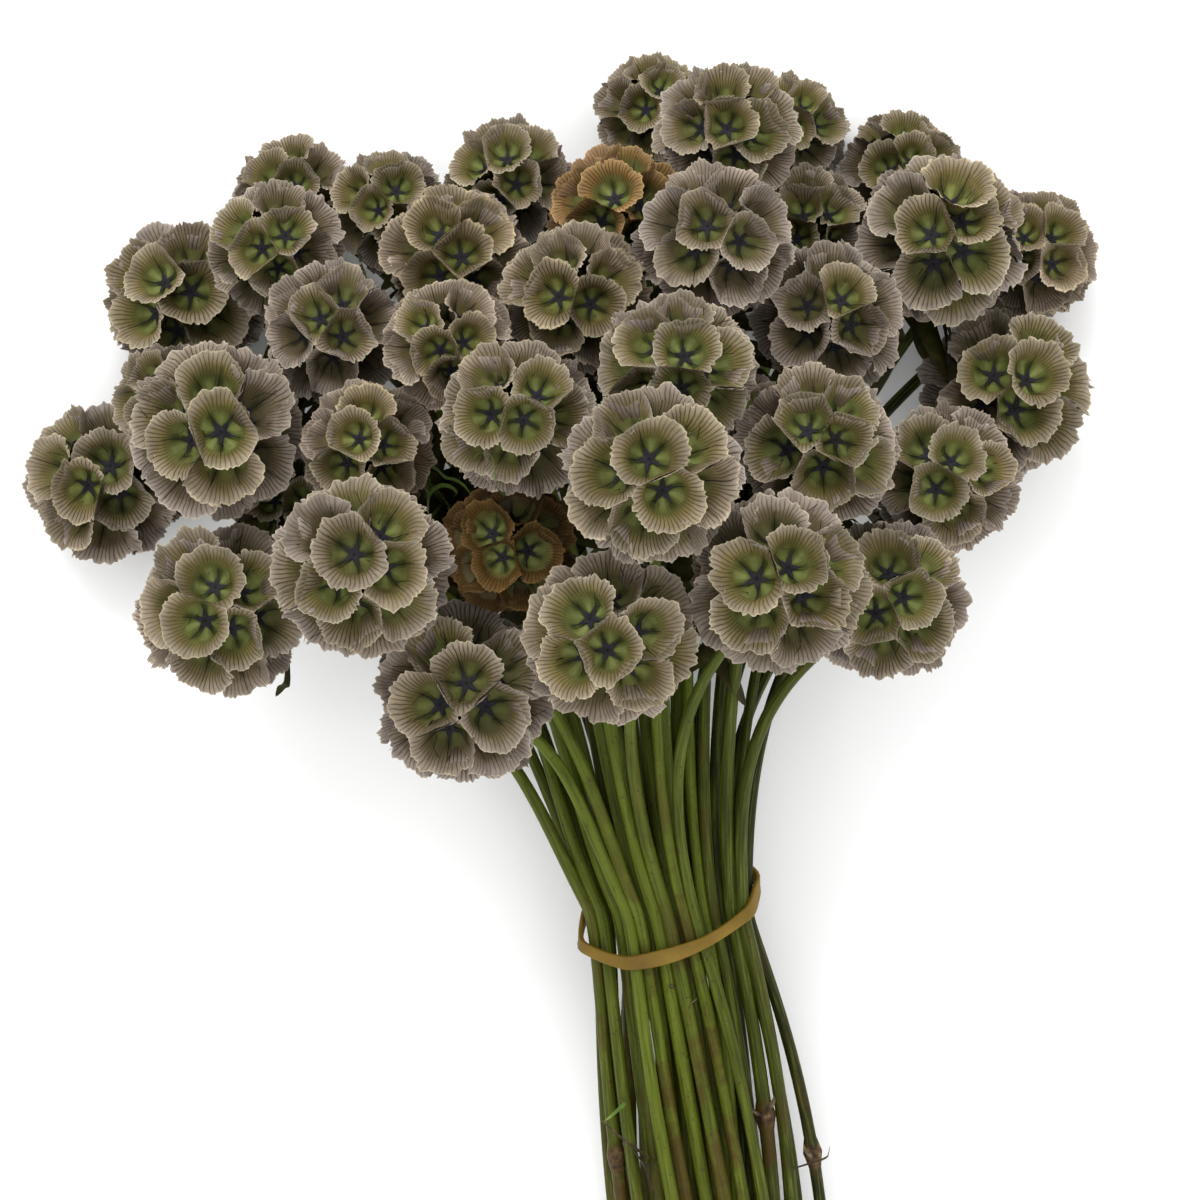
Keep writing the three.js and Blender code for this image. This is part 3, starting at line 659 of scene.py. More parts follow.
def bernstein(steps):
    """Weights of the six control points at each step, 0 to 1."""
    t = np.asarray(steps, float)[:, None]
    powers = np.arange(6)
    return np.array([1, 5, 10, 10, 5, 1]) * t ** powers * (1 - t) ** (5 - powers)


def routed_stems(heads):
    """Each stem's two runs, as control points from the tie to its head and to its cut end."""
    def from_tie(head):
        return head["base"] - TIE

    by_height = sorted(heads, key=lambda head: from_tie(head)[2] / math.hypot(*from_tie(head)[:2]))
    draws = repeated_draws(ROUTE_SEED)
    stems = []
    for row, size in enumerate(ROW_SIZES):
        level = row - MIDDLE_ROW
        members = sorted(by_height[:size], key=lambda head: math.atan2(*from_tie(head)[:2]))
        by_height = by_height[size:]
        for place, head in enumerate(members):
            if place % 2 == 0:
                girth = THINNEST + (1 - THINNEST) * next(draws)
            side = (PAIR_HALF if place % 2 else -PAIR_HALF) * girth
            offset = (place // 2 - (size / 2 - 1) / 2) * PAIR_PITCH + side - level * TIE_SLIDE
            slot = TIE + [offset, 0, level * ROW_PITCH]
            tip = head["base"] - head["axis"] * TIP_GAP
            upper = upper_control(slot, offset, level, tip, head["axis"])
            cut = cut_end(offset + CUT_PARTING * side, level, draws)
            start = slot - unit(upper[1] - slot) * LOWER_START
            drift = np.array([STRAYS.get((row, place), 0.0), 0, 0])
            between = [start + (cut - start) * share + drift * stray
                       for share, stray in zip(LOWER_SHARES, STRAY_SHARES)]
            lower = np.array([slot, start, *between, cut + drift])
            stems.append({"head": head, "girth": girth, "pair": (row, place // 2),
                          "upper": upper, "lower": lower})
    settle_runs(stems, "upper", (2, 3), heads)
    settle_runs(stems, "lower", (2, 3, 4, 5), [])
    return stems


def upper_control(slot, offset, level, tip, axis):
    """Control points from the tie, straight at first, to a head's base along its axis."""
    sideways = (SIDEWAYS["middle"] + SIDEWAYS["edge"] * offset / TIE_HALF_WIDTH
                + SIDEWAYS["row"] * level)
    upwards = UPWARDS["middle"] + UPWARDS["row"] * level
    start = slot + unit(np.array([sideways, 1, upwards])) * START_LENGTH
    reach = min(ARRIVAL["longest"], np.linalg.norm(tip - slot) * ARRIVAL["share"])
    arrival = tip - axis * reach
    arrival[2] = max(arrival[2], ARRIVAL["lowest"])
    span = arrival - start
    return np.array([slot, start, start + span * THIRD, start + span * FOURTH, arrival, tip])


def cut_end(offset, level, draws):
    """A stem's cut end, scattered round its place in the row."""
    def scattered(middle, width):
        return middle + (next(draws) - 0.5) * width

    height = CUT_RADIUS + (level + MIDDLE_ROW) * ROW_PITCH * CUT_SPREAD["z"]
    z = max(scattered(height, CUT_SCATTER["z"]), CUT_RADIUS)
    middle = TIE[0] + CUT_DRIFT + level * CUT_SLIDE + offset * CUT_SPREAD["x"]
    x = scattered(middle, CUT_SCATTER["x"])
    y = scattered(TIE[1] - CUT_LENGTH, CUT_SCATTER["y"])
    return np.array([x, y, z])


def settle_runs(stems, kind, free, heads):
    """Moves the free control points over a set number of rounds, pushing each run clear of the
    others, the heads and the surface.
    """
    weights = bernstein(np.arange(STEM_SAMPLES + 1) / STEM_SAMPLES)
    control = np.array([stem[kind] for stem in stems])
    clear_squares = clearance_squares([stem["pair"] for stem in stems])
    balls = [(head["node"], head["centre"], head["radius"]) for head in heads]
    balls += [(head["node"], head["base"], NECK_RADIUS + BESIDE_HEAD) for head in heads]
    for _ in range(STEM_ROUNDS):
        samples = weights @ control
        pushes = pushes_between(samples.reshape(-1, 3), clear_squares).reshape(samples.shape)
        for node, centre, radius in balls:
            away = samples - centre
            distance = np.linalg.norm(away, axis=2)
            clear = radius + TIE_RADIUS + BESIDE_HEAD
            near = distance < clear
            near[[stem["head"]["node"] == node for stem in stems]] = False
            pushes[near] += away[near] * (clear / distance[near] - 1)[:, None]
        pushed = (pushes ** 2).sum(2) > 0
        for corner in free:
            move = (pushes * weights[:, corner, None]).sum(1)
            total = (pushed * weights[:, corner] ** 2).sum(1)
            control[:, corner] += move * (PUSH_SHARE / np.maximum(total, LEAST_WEIGHT))[:, None]
            control[:, corner, 2] = np.maximum(control[:, corner, 2], CUT_RADIUS)
    for stem, settled in zip(stems, control):
        stem[kind] = settled


def clearance_squares(pairs):
    """The square of the distance that each two samples keep, or -1 if they keep none."""
    run, sample = np.divmod(np.arange(len(pairs) * (STEM_SAMPLES + 1)), STEM_SAMPLES + 1)
    pair = np.array([pairs.index(one) for one in pairs])[run]
    paired = pair[:, None] == pair[None]
    start = np.where(paired, round(STEM_SAMPLES * PAIR_SHARE), HELD_SAMPLES)
    kept = (run[:, None] < run[None]) & (sample[:, None] >= start) & (sample[None] >= start)
    clear = 2 * CUT_RADIUS + np.where(paired, 0, STEM_GAP)
    return np.where(kept, clear ** 2, -1).astype(np.float32)


def pushes_between(points, clear_squares):
    """How far each point is pushed by the points that are too near it."""
    rough = (points - points.mean(0)).astype(np.float32)
    square = (rough ** 2).sum(1)
    near = (rough @ rough.T) * -2 + square[:, None] + square < clear_squares
    first, second = np.divmod(np.flatnonzero(near), len(points))
    gaps = points[first] - points[second]
    share = (np.sqrt(clear_squares[first, second]) / np.linalg.norm(gaps, axis=1) - 1) / 2
    pushes = np.zeros_like(points)
    np.add.at(pushes, first, gaps * share[:, None])
    np.subtract.at(pushes, second, gaps * share[:, None])
    return pushes


def stem_line(stem, lower_steps, upper_steps):
    """A stem's centre line from its cut end to its head's base, and its radius there."""
    lower = bernstein(lower_steps) @ stem["lower"]
    upper = bernstein(upper_steps) @ stem["upper"]
    radii = np.concatenate([TIE_RADIUS + (CUT_RADIUS - TIE_RADIUS) * np.asarray(lower_steps),
                            TIE_RADIUS + (HEAD_RADIUS - TIE_RADIUS) * np.asarray(upper_steps)])
    return np.concatenate([lower, upper]), radii * stem["girth"]


def tube(line, radii, sides):
    """A tube's corners and faces, with a cap at its start. radii is one number a corner."""
    points = []
    across = side_of(unit(line[1] - line[0]))
    ahead = np.concatenate([line[1:], line[-1:]])
    behind = np.concatenate([line[:1], line[:-1]])
    angles = 2 * math.pi * np.arange(sides) / sides
    for place, forward, radius in zip(line, unit(ahead - behind), radii):
        across = unit(across - (across @ forward) * forward)
        upright = np.cross(forward, across)
        ring = np.outer(np.cos(angles), across) + np.outer(np.sin(angles), upright)
        points.append(place + ring * radius[:, None])
    points.append(line[:1] + 0.25 * unit(line[1] - line[0]))
    points = np.concatenate(points)
    here = np.arange(sides)
    cap = np.stack([np.full(sides, len(points) - 1), (here + 1) % sides, here], 1)
    return points, [stacked_rings(0, sides, len(line)), cap]


def fine_line(stem):
    return stem_line(stem, np.linspace(1, 0.02, 46), np.linspace(0, 1, 56))


def on_a_stem(stems, place):
    """The uppermost stem near a place, given as [x, y], and the nearest point of its line."""
    found = []
    for stem in stems:
        line, radii = fine_line(stem)
        away = np.hypot(*(line[:, :2] - place).T)
        nearest = int(away.argmin())
        found.append((line[nearest][2] - 4 * away[nearest], nearest, stem, line, radii))
    _, nearest, stem, line, radii = max(found, key=lambda one: one[0])
    return stem, nearest, line, radii


def nearest_on_stems(lines, place):
    """The point of the stems' centre lines nearest to a place."""
    return lines[np.linalg.norm(lines - place, axis=1).argmin()]


def dressed_stems(stems, name, materials, draw):
    """The fine stems that stand for one CAD node, each running on into its head."""
    pile, runs, skins = Pile(), [], []
    angles = 2 * math.pi * np.arange(STEM_SIDES) / STEM_SIDES
    for stem in stems:
        line, radii = fine_line(stem)
        head = stem["head"]
        inward = np.array([0.5, 1.2, 0.35 * head["radius"]])
        line = np.concatenate([line, line[-1] + head["axis"] * inward[:, None]])
        radii = np.concatenate([radii, radii[-1] * np.array([1.1, 1.3, 1.6])])
        length = run_length(line)
        ridges = 1 + 0.035 * np.cos(4 * angles + draw.uniform(0, 6))
        wobble = 1 + 0.05 * np.sin(length / draw.uniform(9, 14) + draw.uniform(0, 6))
        radii = radii[:, None] * wobble[:, None] * ridges[None]
        # The first tone is partly random and partly painted shade, which darkens the stems of the
        # lower rows.
        tone = draw.uniform(size=2) * [0.5, 1] + [0.5 * stem["pair"][0] / (len(ROW_SIZES) - 1), 0]
        knot = np.zeros(len(line))
        for nearest, swelling, reach in stem.get("joints", []):
            gap = length - length[nearest]
            near = np.exp(-(gap / reach) ** 2)
            trail = np.where(gap < 0, 0.75 * np.exp(gap / (4 * reach)), 0)
            knot = np.maximum(knot, np.maximum(near, trail))
            radii *= (1 + swelling * near ** 2)[:, None]
        points, blocks = tube(line, radii, STEM_SIDES)
        pile.add(points, blocks, (0, 1))
        run = np.append(np.repeat(length / length[-1], STEM_SIDES), 0)
        brown = np.append(np.repeat(0.8 * tone[1] + 1.5 * knot, STEM_SIDES), 0)
        runs.append(np.column_stack([run, np.full(len(run), tone[0]), brown]))
        round_it = np.tile(np.column_stack([np.cos(angles), np.sin(angles)]), (len(line), 1))
        skin = np.column_stack([round_it, np.repeat(length, STEM_SIDES)])
        skins.append(np.vstack([skin, [0, 0, 0]]) + [20 * tone[0], 0, 0])
    return pile.piece(name, materials, {"run": np.concatenate(runs), "skin": np.concatenate(skins)})


def curve_through(places, steps=5):
    """Points along the smooth curve through all places."""
    places = np.vstack([2 * places[0] - places[1], places, 2 * places[-1] - places[-2]])
    t = np.arange(steps)[:, None] / steps
    parts = []
    for a, b, c, d in zip(places[:-3], places[1:-2], places[2:-1], places[3:]):
        square, cube = 2 * a - 5 * b + 4 * c - d, 3 * b - 3 * c + d - a
        parts.append(b + 0.5 * ((c - a) * t + square * t ** 2 + cube * t ** 3))
    return np.vstack(parts + [places[-2:-1]])


def ribbon(places, width, roll, fold=0.25):
    """A narrow leaf along a curve, folded a little along its middle and pointed at its end."""
    line = curve_through(np.asarray(places, float))
    share = np.linspace(0, 1, len(line))
    half = width / 2 * np.sin(math.pi * (0.15 + 0.85 * share)) ** 0.7 + 0.03
    across = side_of(unit(line[1] - line[0]))
    points = []
    for place, forward, reach in zip(line, unit(np.gradient(line, axis=0)), half):
        across = unit(across - (across @ forward) * forward)
        wide = turned(roll, across, np.cross(forward, across))
        middle = place + np.cross(forward, wide) * fold * reach
        points += [place - wide * reach, middle, place + wide * reach]
    first = (3 * np.arange(len(line) - 1)[:, None] + [0, 1]).reshape(-1)
    return np.array(points), np.stack([first, first + 1, first + 4, first + 3], 1)


def dressed_leaves(stems, materials, draw):
    """The leaf tips, tendrils, dry stalk and tufts that show among the heads and stems."""
    pile = Pile()

    def add(places, width, kind, roll):
        points, faces = ribbon(places, width, roll)
        points[:, 2] = np.maximum(points[:, 2], SURFACE_GAP)
        pile.add(points, [faces], [kind])

    lines = np.concatenate([fine_line(stem)[0] for stem in stems])
    for width, kind, places in LEAVES:
        add([nearest_on_stems(lines, places[0])] + places[1:], width, kind, 0.5)
    level, scatter = [1, 1, GAP_LEAF["flatness"]], GAP_LEAF["scatter"]
    for gap in LEAFY_GAPS:
        for _ in range(LEAVES_IN_A_GAP):
            place = gap + draw.normal(0, scatter, 3) * [1, 1, 1.5]
            root = nearest_on_stems(lines, place)
            stray = draw.normal(0, GAP_LEAF["bend"], 3)
            onward = unit((place - root) * level + stray * level)
            bend = draw.normal(0, GAP_LEAF["bend"], 3)
            length = draw.uniform(*GAP_LEAF["length"])
            places = [root, root + onward * length * 0.35 + UP * 2,
                      root + onward * length * 0.7 + UP * 3 + bend * 0.6,
                      root + onward * length + UP * 2 + bend * 1.4]
            add(places, draw.uniform(*GAP_LEAF["width"]), DARK, draw.uniform(0, 6))
    for root, size, count in TUFTS:
        _, nearest, line, radii = on_a_stem(stems, root)
        start = line[nearest] + UP * radii[nearest] * 0.4
        for _ in range(count):
            way = unit(draw.normal(size=3) + [0, 0, 0.3])
            bend = draw.normal(0, 0.5, 3)
            places = [start, start + size * way * 0.6, start + size * (way + bend)]
            add(places, HAIR_WIDTH, DRY, 0.0)
    return pile.piece("small_leaves", materials)


def band_loop(stems):
    """The smooth, tight loop round all stems as the band's slanted plane cuts them, as [x, z]."""
    corners = []
    for stem in stems:
        line, _ = stem_line(stem, LOWER_STEPS, UPPER_STEPS)
        for start, end in zip(line[:-1], line[1:]):
            dense = start + (end - start) * np.linspace(0, 1, 60)[:, None]
            off = abs(dense[:, 1] - band_height(dense[:, 0], dense[:, 2]))
            corners.append(dense[off < BAND["width"] / 2 + BAND_MARGIN])
    corners = np.concatenate(corners)[:, [0, 2]]
    angles = 2 * math.pi * np.arange(BAND_STEPS) / BAND_STEPS
    outward = np.column_stack([np.cos(angles), np.sin(angles)])
    onward = np.column_stack([-np.sin(angles), np.cos(angles)])
    tight = (corners @ outward.T).max(0) + TIE_RADIUS + BAND["gap"]
    reach = tight
    for _ in range(BAND_SMOOTHING):
        reach = (np.roll(reach, 1) + 2 * np.maximum(reach, tight) + np.roll(reach, -1)) / 4
    turn = (np.roll(reach, -1) - np.roll(reach, 1)) / (angles[2] - angles[0])
    return outward * reach[:, None] + onward * turn[:, None]


def band_height(x, z):
    """How far up the stems the band's slanted plane lies."""
    rise, drop = BAND_SLANT["right_rise"] * (x - TIE[0]), BAND_SLANT["front_drop"] * (z - TIE[2])
    return BAND_SLANT["middle"] + rise - drop


def dressed_band(stems, material):
    """The flat rubber band, rounded at its edges and twisted a little as it goes round."""
    loop = band_loop(stems)
    ends = np.concatenate([loop, loop[:1]])
    length = run_length(ends)
    even = np.linspace(0, length[-1], BAND_STEPS, endpoint=False)
    loop = np.column_stack([np.interp(even, length, ends[:, axis]) for axis in (0, 1)])
    run = unit(np.roll(loop, -1, 0) - np.roll(loop, 1, 0))
    outward = np.column_stack([run[:, 1], -run[:, 0]])
    line = np.column_stack([loop[:, 0], band_height(loop[:, 0], loop[:, 1]), loop[:, 1]])
    outward = np.column_stack([outward[:, 0], np.zeros(len(loop)), outward[:, 1]])
    forward = unit(np.roll(line, -1, 0) - np.roll(line, 1, 0))
    wide = unit(np.cross(forward, outward))
    outward = np.cross(wide, forward)
    place = 2 * math.pi * np.arange(BAND_STEPS) / BAND_STEPS
    twist = np.radians(9 * np.sin(2 * place + 0.6) + 5 * np.sin(5 * place))
    turned_out = np.cos(twist)[:, None] * outward + np.sin(twist)[:, None] * wide
    turned_wide = np.cos(twist)[:, None] * wide - np.sin(twist)[:, None] * outward
    profile = rounded_profile(BAND["width"] / 2, BAND["thickness"] / 2, 0.42)
    middle = line + outward * BAND["thickness"] / 2
    drawn_in = (0.86 + 0.14 * np.cos(3 * place + 0.8))[:, None]
    points = np.concatenate([middle + across * drawn_in * turned_wide + out * turned_out
                             for across, out in profile])
    starts = BAND_STEPS * np.arange(len(profile))
    here = np.arange(BAND_STEPS)
    ahead = (here + 1) % BAND_STEPS
    faces = np.concatenate([
        np.stack([first + here, first + ahead, second + ahead, second + here], 1)
        for first, second in zip(starts, np.roll(starts, -1))])
    return new_piece("rubber_band_loop", points, [faces], [material])


def rounded_profile(half_width, half_height, corner, steps=3):
    """A flat section with rounded corners, as (across, outward) pairs."""
    profile = []
    for side_w, side_h, first in ((1, 1, 0), (-1, 1, 1), (-1, -1, 2), (1, -1, 3)):
        for step in range(steps + 1):
            angle = math.pi / 2 * (first + step / steps)
            profile.append((side_w * (half_width - corner) + corner * math.cos(angle),
                            side_h * (half_height - corner) + corner * math.sin(angle)))
    return profile


def srgb(red, green, blue):
    """A colour as seen on screen, 0 to 255, as a shader takes it."""
    def linear(value):
        value /= 255
        return value / 12.92 if value <= 0.04045 else ((value + 0.055) / 1.055) ** 2.4
    return (linear(red), linear(green), linear(blue), 1.0)


class Shader:
    """A material with one Principled shader, and the nodes that feed it."""

    def __init__(self, name, **inputs):
        self.material = bpy.data.materials.new(name)
        self.material.use_nodes = True
        self.tree = self.material.node_tree
        self.principled = self.tree.nodes["Principled BSDF"]
        for key, value in inputs.items():
            self.principled.inputs[key.replace("_", " ")].default_value = value

    def node(self, kind, inputs, **settings):
        """A node whose inputs are values or other nodes' outputs."""
        node = self.tree.nodes.new("ShaderNode" + kind)
        for key, value in settings.items():
            setattr(node, key, value)
        for key, value in inputs.items():
            if isinstance(value, bpy.types.NodeSocket):
                self.tree.links.new(value, node.inputs[key])
            else:
                node.inputs[key].default_value = value
        return node

    def ramp(self, factor, stops):
        """A colour ramp. stops is a list of (place, red, green, blue)."""
        node = self.node("ValToRGB", {"Fac": factor})
        elements = node.color_ramp.elements
        while len(elements) < len(stops):
            elements.new(0.5)
        for element, (place, *colour) in zip(elements, stops):
            element.position = place
            element.color = srgb(*colour)
        return node.outputs["Color"]

    def mix(self, factor, first, second, blend="MIX"):
        inputs = {0: factor, 6: first, 7: second}
        return self.node("Mix", inputs, data_type="RGBA", blend_type=blend).outputs[2]

    def math(self, operation, first, second=0.0):
        return self.node("Math", {0: first, 1: second}, operation=operation).outputs[0]

    def times(self, *values):
        product = values[0]
        for value in values[1:]:
            product = self.math("MULTIPLY", product, value)
        return product

    def vector_times(self, first, second):
        return self.node("VectorMath", {0: first, 1: second}, operation="MULTIPLY").outputs[0]

    def span(self, value, low, high, to_low=0.0, to_high=1.0):
        """value from low to high, smoothly, as to_low to to_high."""
        inputs = {0: value, 1: low, 2: high, 3: to_low, 4: to_high}
        return self.node("MapRange", inputs, interpolation_type="SMOOTHSTEP").outputs[0]

    def noise(self, scale, detail=3.0, roughness=0.55, place=None):
        if place is None:
            place = self.node("TexCoord", {}).outputs["Object"]
        inputs = {"Vector": place, "Scale": scale, "Detail": detail, "Roughness": roughness}
        return self.node("TexNoise", inputs).outputs["Fac"]

    def attribute(self, name):
        return self.node("Attribute", {}, attribute_name=name).outputs["Vector"]

    def parts(self, vector):
        return self.node("SeparateXYZ", {0: vector}).outputs

    def cup_place(self):
        """A point's distance from its cup's middle, its angle there and the cup's third number."""
        east, north, third = self.parts(self.attribute("cup"))
        squares = self.math("ADD", self.times(east, east), self.times(north, north))
        return self.math("SQRT", squares), self.math("ARCTAN2", north, east), third

    def finish(self, colour, height=None, strength=0.0, distance=0.0):
        """Gives the shader its colour, and its bump if there is one."""
        self.tree.links.new(colour, self.principled.inputs["Base Color"])
        if height is not None:
            inputs = {"Height": height, "Strength": strength, "Distance": distance}
            bump = self.node("Bump", inputs).outputs["Normal"]
            self.tree.links.new(bump, self.principled.inputs["Normal"])
        return self.material


def papery_material(name, membrane_wash, wash_share):
    """Cup walls: green in the bowl, beige outside it, with thin dark ribs and a pale rim that is a
    painted highlight.
    """
    shader = Shader(name, Roughness=0.85, Specular_IOR_Level=0.08)
    span, times, mix, noise = shader.span, shader.times, shader.mix, shader.noise
    reach, angle, rib_share = shader.cup_place()
    age, tone, warmth = shader.parts(shader.attribute("tint"))
    # The colours lie in rings, shifted a little from place to place and from cup to cup.
    shifted = shader.math("ADD", reach, span(noise(420.0, 2.0), 0.25, 0.75, -0.05, 0.05))
    shifted = shader.math("ADD", shifted, span(warmth, 0, 1, -0.07, 0.04))
    # The edge takes the ramps' palest stop, a painted highlight along the rim.
    shifted = shader.math("MAXIMUM", shifted, times(span(reach, 0.9, 0.97), reach))
    green, pale = shader.ramp(shifted, GREEN_CUP), shader.ramp(shifted, PALE_CUP)
    colour = mix(span(age, 0.15, 0.75), pale, green)
    # The bowl has five pale pads, and painted shade darkens the furrows between them.
    lobe = shader.math("COSINE", times(angle, 5.0))
    in_bowl = shader.math("SUBTRACT", 1.0, span(reach, 0.48, 0.56))
    furrow_shade = times(span(lobe, 0.1, 0.95), in_bowl)
    colour = mix(times(furrow_shade, 0.6), colour, FURROW_PAINTED_SHADE)
    pad = times(span(lobe, -0.2, -0.8), span(reach, 0.15, 0.24), in_bowl, span(age, 0.3, 0.8))
    patches = span(noise(200.0, 2.0), 0.38, 0.6, 0.15, 0.8)
    colour = mix(times(pad, patches), colour, PAD_COLOUR)
    # The wall outside the bowl has dark ribs that fade out before the rim.
    strayed = shader.math("ADD", angle, span(noise(180.0, 2.0), 0.25, 0.75, -0.05, 0.05))
    rib = span(shader.math("COSINE", times(strayed, float(RIBS))), 0.3, 0.99)
    fade = times(span(reach, 0.46, 0.66), span(reach, 0.98, 0.82, 0.35, 1.0))
    colour = mix(times(rib, fade, rib_share, 0.9), colour, RIB_COLOUR)
    # Mottling, and the tone of the cup and of its head.
    shade = times(span(noise(260.0), 0.3, 0.7, 0.82, 1.12), span(tone, 0.0, 1.0, 0.86, 1.1))
    grey = shader.node("CombineXYZ", {0: shade, 1: shade, 2: shade}).outputs[0]
    colour = shader.vector_times(colour, grey)
    colour = mix(times(warmth, 0.5), colour, WARM_WASH, "MULTIPLY")
    outside = times(span(shifted, 0.52, 0.66), wash_share)
    colour = mix(outside, colour, membrane_wash, "MULTIPLY")
    return shader.finish(colour, noise(900.0, 4.0), 0.25, 0.0004)


def star_material():
    """Nearly black arms, darkest at the middle, with browner bristles."""
    shader = Shader("star_arms", Roughness=0.55, Specular_IOR_Level=0.15)
    colour = shader.ramp(shader.noise(600.0), [(0.3, 17, 16, 22), (0.7, 42, 39, 47)])
    reach, _, _ = shader.cup_place()
    colour = shader.mix(shader.span(reach, 0.07, 0.03), colour, srgb(10, 9, 12))
    colour = shader.mix(shader.span(reach, 0.36, 0.46), colour, srgb(30, 23, 22))
    return shader.finish(colour, shader.noise(1500.0), 0.3, 0.0003)


def stem_material():
    """Green stems, streaked, with brown joints and specks. They are lighter or darker from stem to
    stem at random, and painted shade darkens the lower rows.
    """
    shader = Shader("stem_skin", Roughness=0.48, Specular_IOR_Level=0.12)
    span, mix, noise = shader.span, shader.mix, shader.noise
    along, tone, brownness = shader.parts(shader.attribute("run"))
    stretched = shader.vector_times(shader.attribute("skin"), (1.0, 1.0, 0.035))
    streaks = noise(2.6, 4.0, 0.6, stretched)
    colour = shader.ramp(along, STEM_GREEN)
    # A low tone darkens a stem and a high one lightens it; the share of the tone that comes from
    # the row is painted shade on the lower rows.
    colour = mix(span(tone, 0.65, 0.15, 0, 0.95), colour, srgb(19, 24, 3))
    colour = mix(span(tone, 0.5, 1.0, 0, 0.6), colour, srgb(92, 106, 24))
    colour = mix(span(streaks, 0.45, 0.72, 0, 0.6), colour, srgb(104, 112, 42))
    colour = mix(span(streaks, 0.5, 0.3, 0, 0.6), colour, srgb(30, 36, 6))
    patches = shader.times(span(noise(70.0, 5.0, 0.7), 0.42, 0.6),
                           span(brownness, 0.1, 0.8, 0.1, 0.85), span(along, 0.8, 0.35, 0.3, 1.0))
    colour = mix(patches, colour, srgb(64, 44, 18))
    woody = shader.ramp(noise(650.0, 4.0), WOODY)
    colour = mix(span(brownness, 0.95, 1.5, 0, 0.9), colour, woody)
    specks = span(noise(1100.0, 2.0), 0.64, 0.70, 0, 0.7)
    colour = mix(specks, colour, srgb(56, 40, 28))
    return shader.finish(colour, streaks, 0.25, 0.0004)


def mottled_material(name, scale, detail, stops, bump=None, **inputs):
    """One ramp over noise. bump is the noise's scale and detail, its strength and its distance."""
    shader = Shader(name, **inputs)
    colour = shader.ramp(shader.noise(scale, detail), stops)
    if bump is None:
        return shader.finish(colour)
    bump_scale, bump_detail, strength, distance = bump
    return shader.finish(colour, shader.noise(bump_scale, bump_detail), strength, distance)


def leaf_material(name, dark, middle, light):
    stops = [(0.3, *dark), (0.6, *middle), (0.8, *light)]
    return mottled_material(name, 300.0, 3.0, stops, (900.0, 3.0, 0.3, 0.0003),
                            Roughness=0.6, Specular_IOR_Level=0.12)


def make_stage():
    """A plain pale floor, an even white light, two soft lamps and the photograph's camera."""
    white = mottled_material("floor", 20.0, 3.0, FLOOR_WHITE, Roughness=0.9)
    corners = FLOOR_HALF * np.array([[-1, -1, 0], [1, -1, 0], [1, 1, 0], [-1, 1, 0]])
    floor = new_piece("floor", corners + [0, 0, -SURFACE_GAP], [np.array([[0, 1, 2, 3]])], [white])

    world = bpy.data.worlds.new("studio")
    bpy.context.scene.world = world
    world.use_nodes = True
    background = world.node_tree.nodes["Background"]
    background.inputs["Color"].default_value = (1, 1, 1, 1)
    background.inputs["Strength"].default_value = WORLD_STRENGTH

    for name, place, size, power in LAMPS:
        lamp = bpy.data.lights.new(name, "AREA")
        lamp.shape, lamp.size, lamp.energy = "DISK", size * MILLIMETRE, power
        holder = bpy.data.objects.new(name, lamp)
        holder.location = Vector(place) * MILLIMETRE
        aim = Vector(LAMP_AIM) * MILLIMETRE - holder.location
        holder.rotation_euler = aim.to_track_quat("-Z", "Y").to_euler()
        bpy.context.scene.collection.objects.link(holder)

    camera = bpy.data.cameras.new("photo")
    camera.sensor_width = 36.0
    camera.lens = camera.sensor_width * EYE[2] / PHOTO_WIDTH
    camera.clip_start, camera.clip_end = 0.01, 20
    eye = bpy.data.objects.new("photo", camera)
    eye.location = Vector(EYE) * MILLIMETRE
    bpy.context.scene.collection.objects.link(eye)
    bpy.context.scene.camera = eye
    bpy.context.scene.view_settings.view_transform = "Standard"


def settle_piece(piece, slot, *nodes):
    """Says what a piece rides on and which CAD nodes it stands for, which it hides. slot is not
    used.
    """
    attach(piece, "root")
    if nodes:
        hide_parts(*nodes)


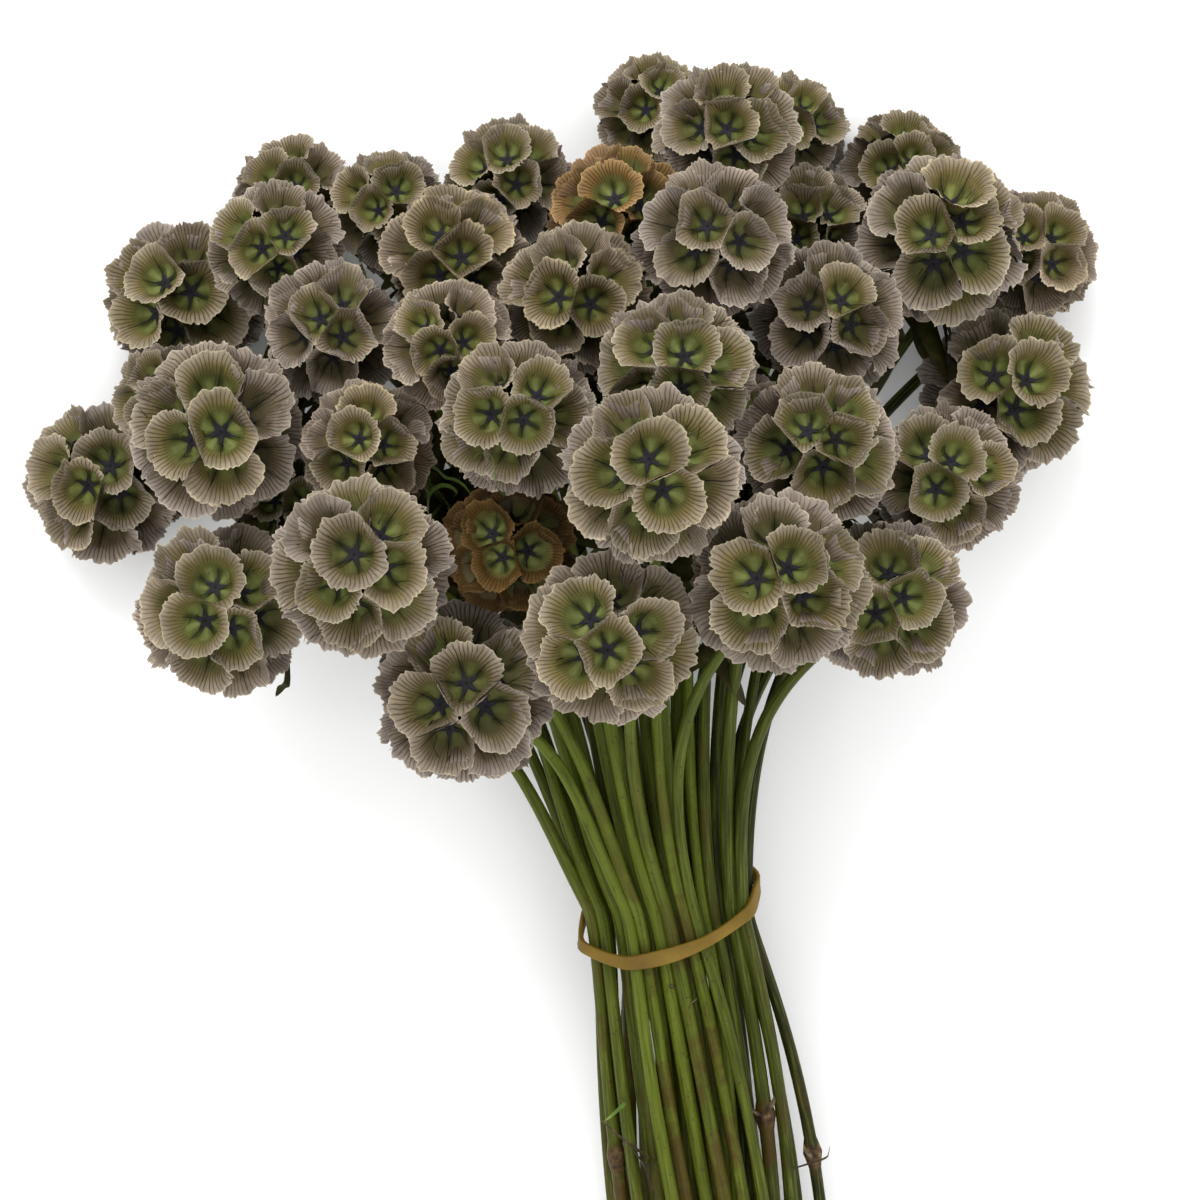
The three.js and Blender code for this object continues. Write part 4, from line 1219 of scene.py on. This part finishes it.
def main():
    make_stage()
    draw = np.random.default_rng(DRAW_SEED)
    papery = papery_material("papery", srgb(255, 255, 255), 0.0)
    browns = {
        "head_09": papery_material("papery_tan", srgb(252, 222, 182), 1.0),
        "head_30": papery_material("papery_brown", srgb(176, 149, 106), 1.0),
    }
    bracts = leaf_material("bracts", (66, 84, 34), (90, 116, 48), (134, 142, 84))
    dark_leaf = leaf_material("dark_leaf", (36, 34, 14), (54, 52, 22), (82, 74, 36))
    feet = mottled_material("cup_feet", 420.0, 4.0, FOOT_BROWN, (1100.0, 4.0, 0.6, 0.0005),
                            Roughness=0.9)
    others = [star_material(), feet, bracts]
    slots = {entry["node"]: entry["material_slot"] for entry in frame["record"]["subparts"]}
    heads = [read_head(node) for node in sorted(frame["nodes"]) if node.startswith("head_")]
    for head in heads:
        walls = browns.get(head["node"], papery)
        settle_piece(dressed_head(head, [walls] + others, draw), slots[head["node"]], head["node"])

    stems = routed_stems(heads)
    for place, swelling, reach in JOINTS:
        stem, nearest, _, _ = on_a_stem(stems, place)
        stem.setdefault("joints", []).append((nearest, swelling, reach))
    pith = mottled_material("cut_pith", 1500.0, 3.0, PITH, Roughness=0.8)
    stem_materials = [stem_material(), pith]
    pairs = list(dict.fromkeys(stem["pair"] for stem in stems))
    for number, pair in enumerate(pairs, 1):
        both = [stem for stem in stems if stem["pair"] == pair]
        node = f"stems_{number:02d}"
        settle_piece(dressed_stems(both, f"{node}_fine", stem_materials, draw), "stem", node)
    rubber = mottled_material("rubber", 90.0, 4.0, RUBBER, (500.0, 3.0, 0.25, 0.0003),
                              Roughness=0.5, Specular_IOR_Level=0.25)
    settle_piece(dressed_band(stems, rubber), "band", "rubber_band")
    dry = mottled_material("dry_leaf", 500.0, 4.0, DRY_BROWN, (1300.0, 4.0, 0.5, 0.0004),
                           Roughness=0.85)
    settle_piece(dressed_leaves(stems, [bracts, dark_leaf, dry], draw), "stem")


TEMPLATE, TEMPLATE_FACES = cup_template()
# Painted shade for the furrows in a cup's bowl.
FURROW_PAINTED_SHADE = srgb(46, 50, 24)
PAD_COLOUR = srgb(134, 142, 86)
RIB_COLOUR = srgb(62, 49, 37)
WARM_WASH = srgb(216, 194, 158)

main()
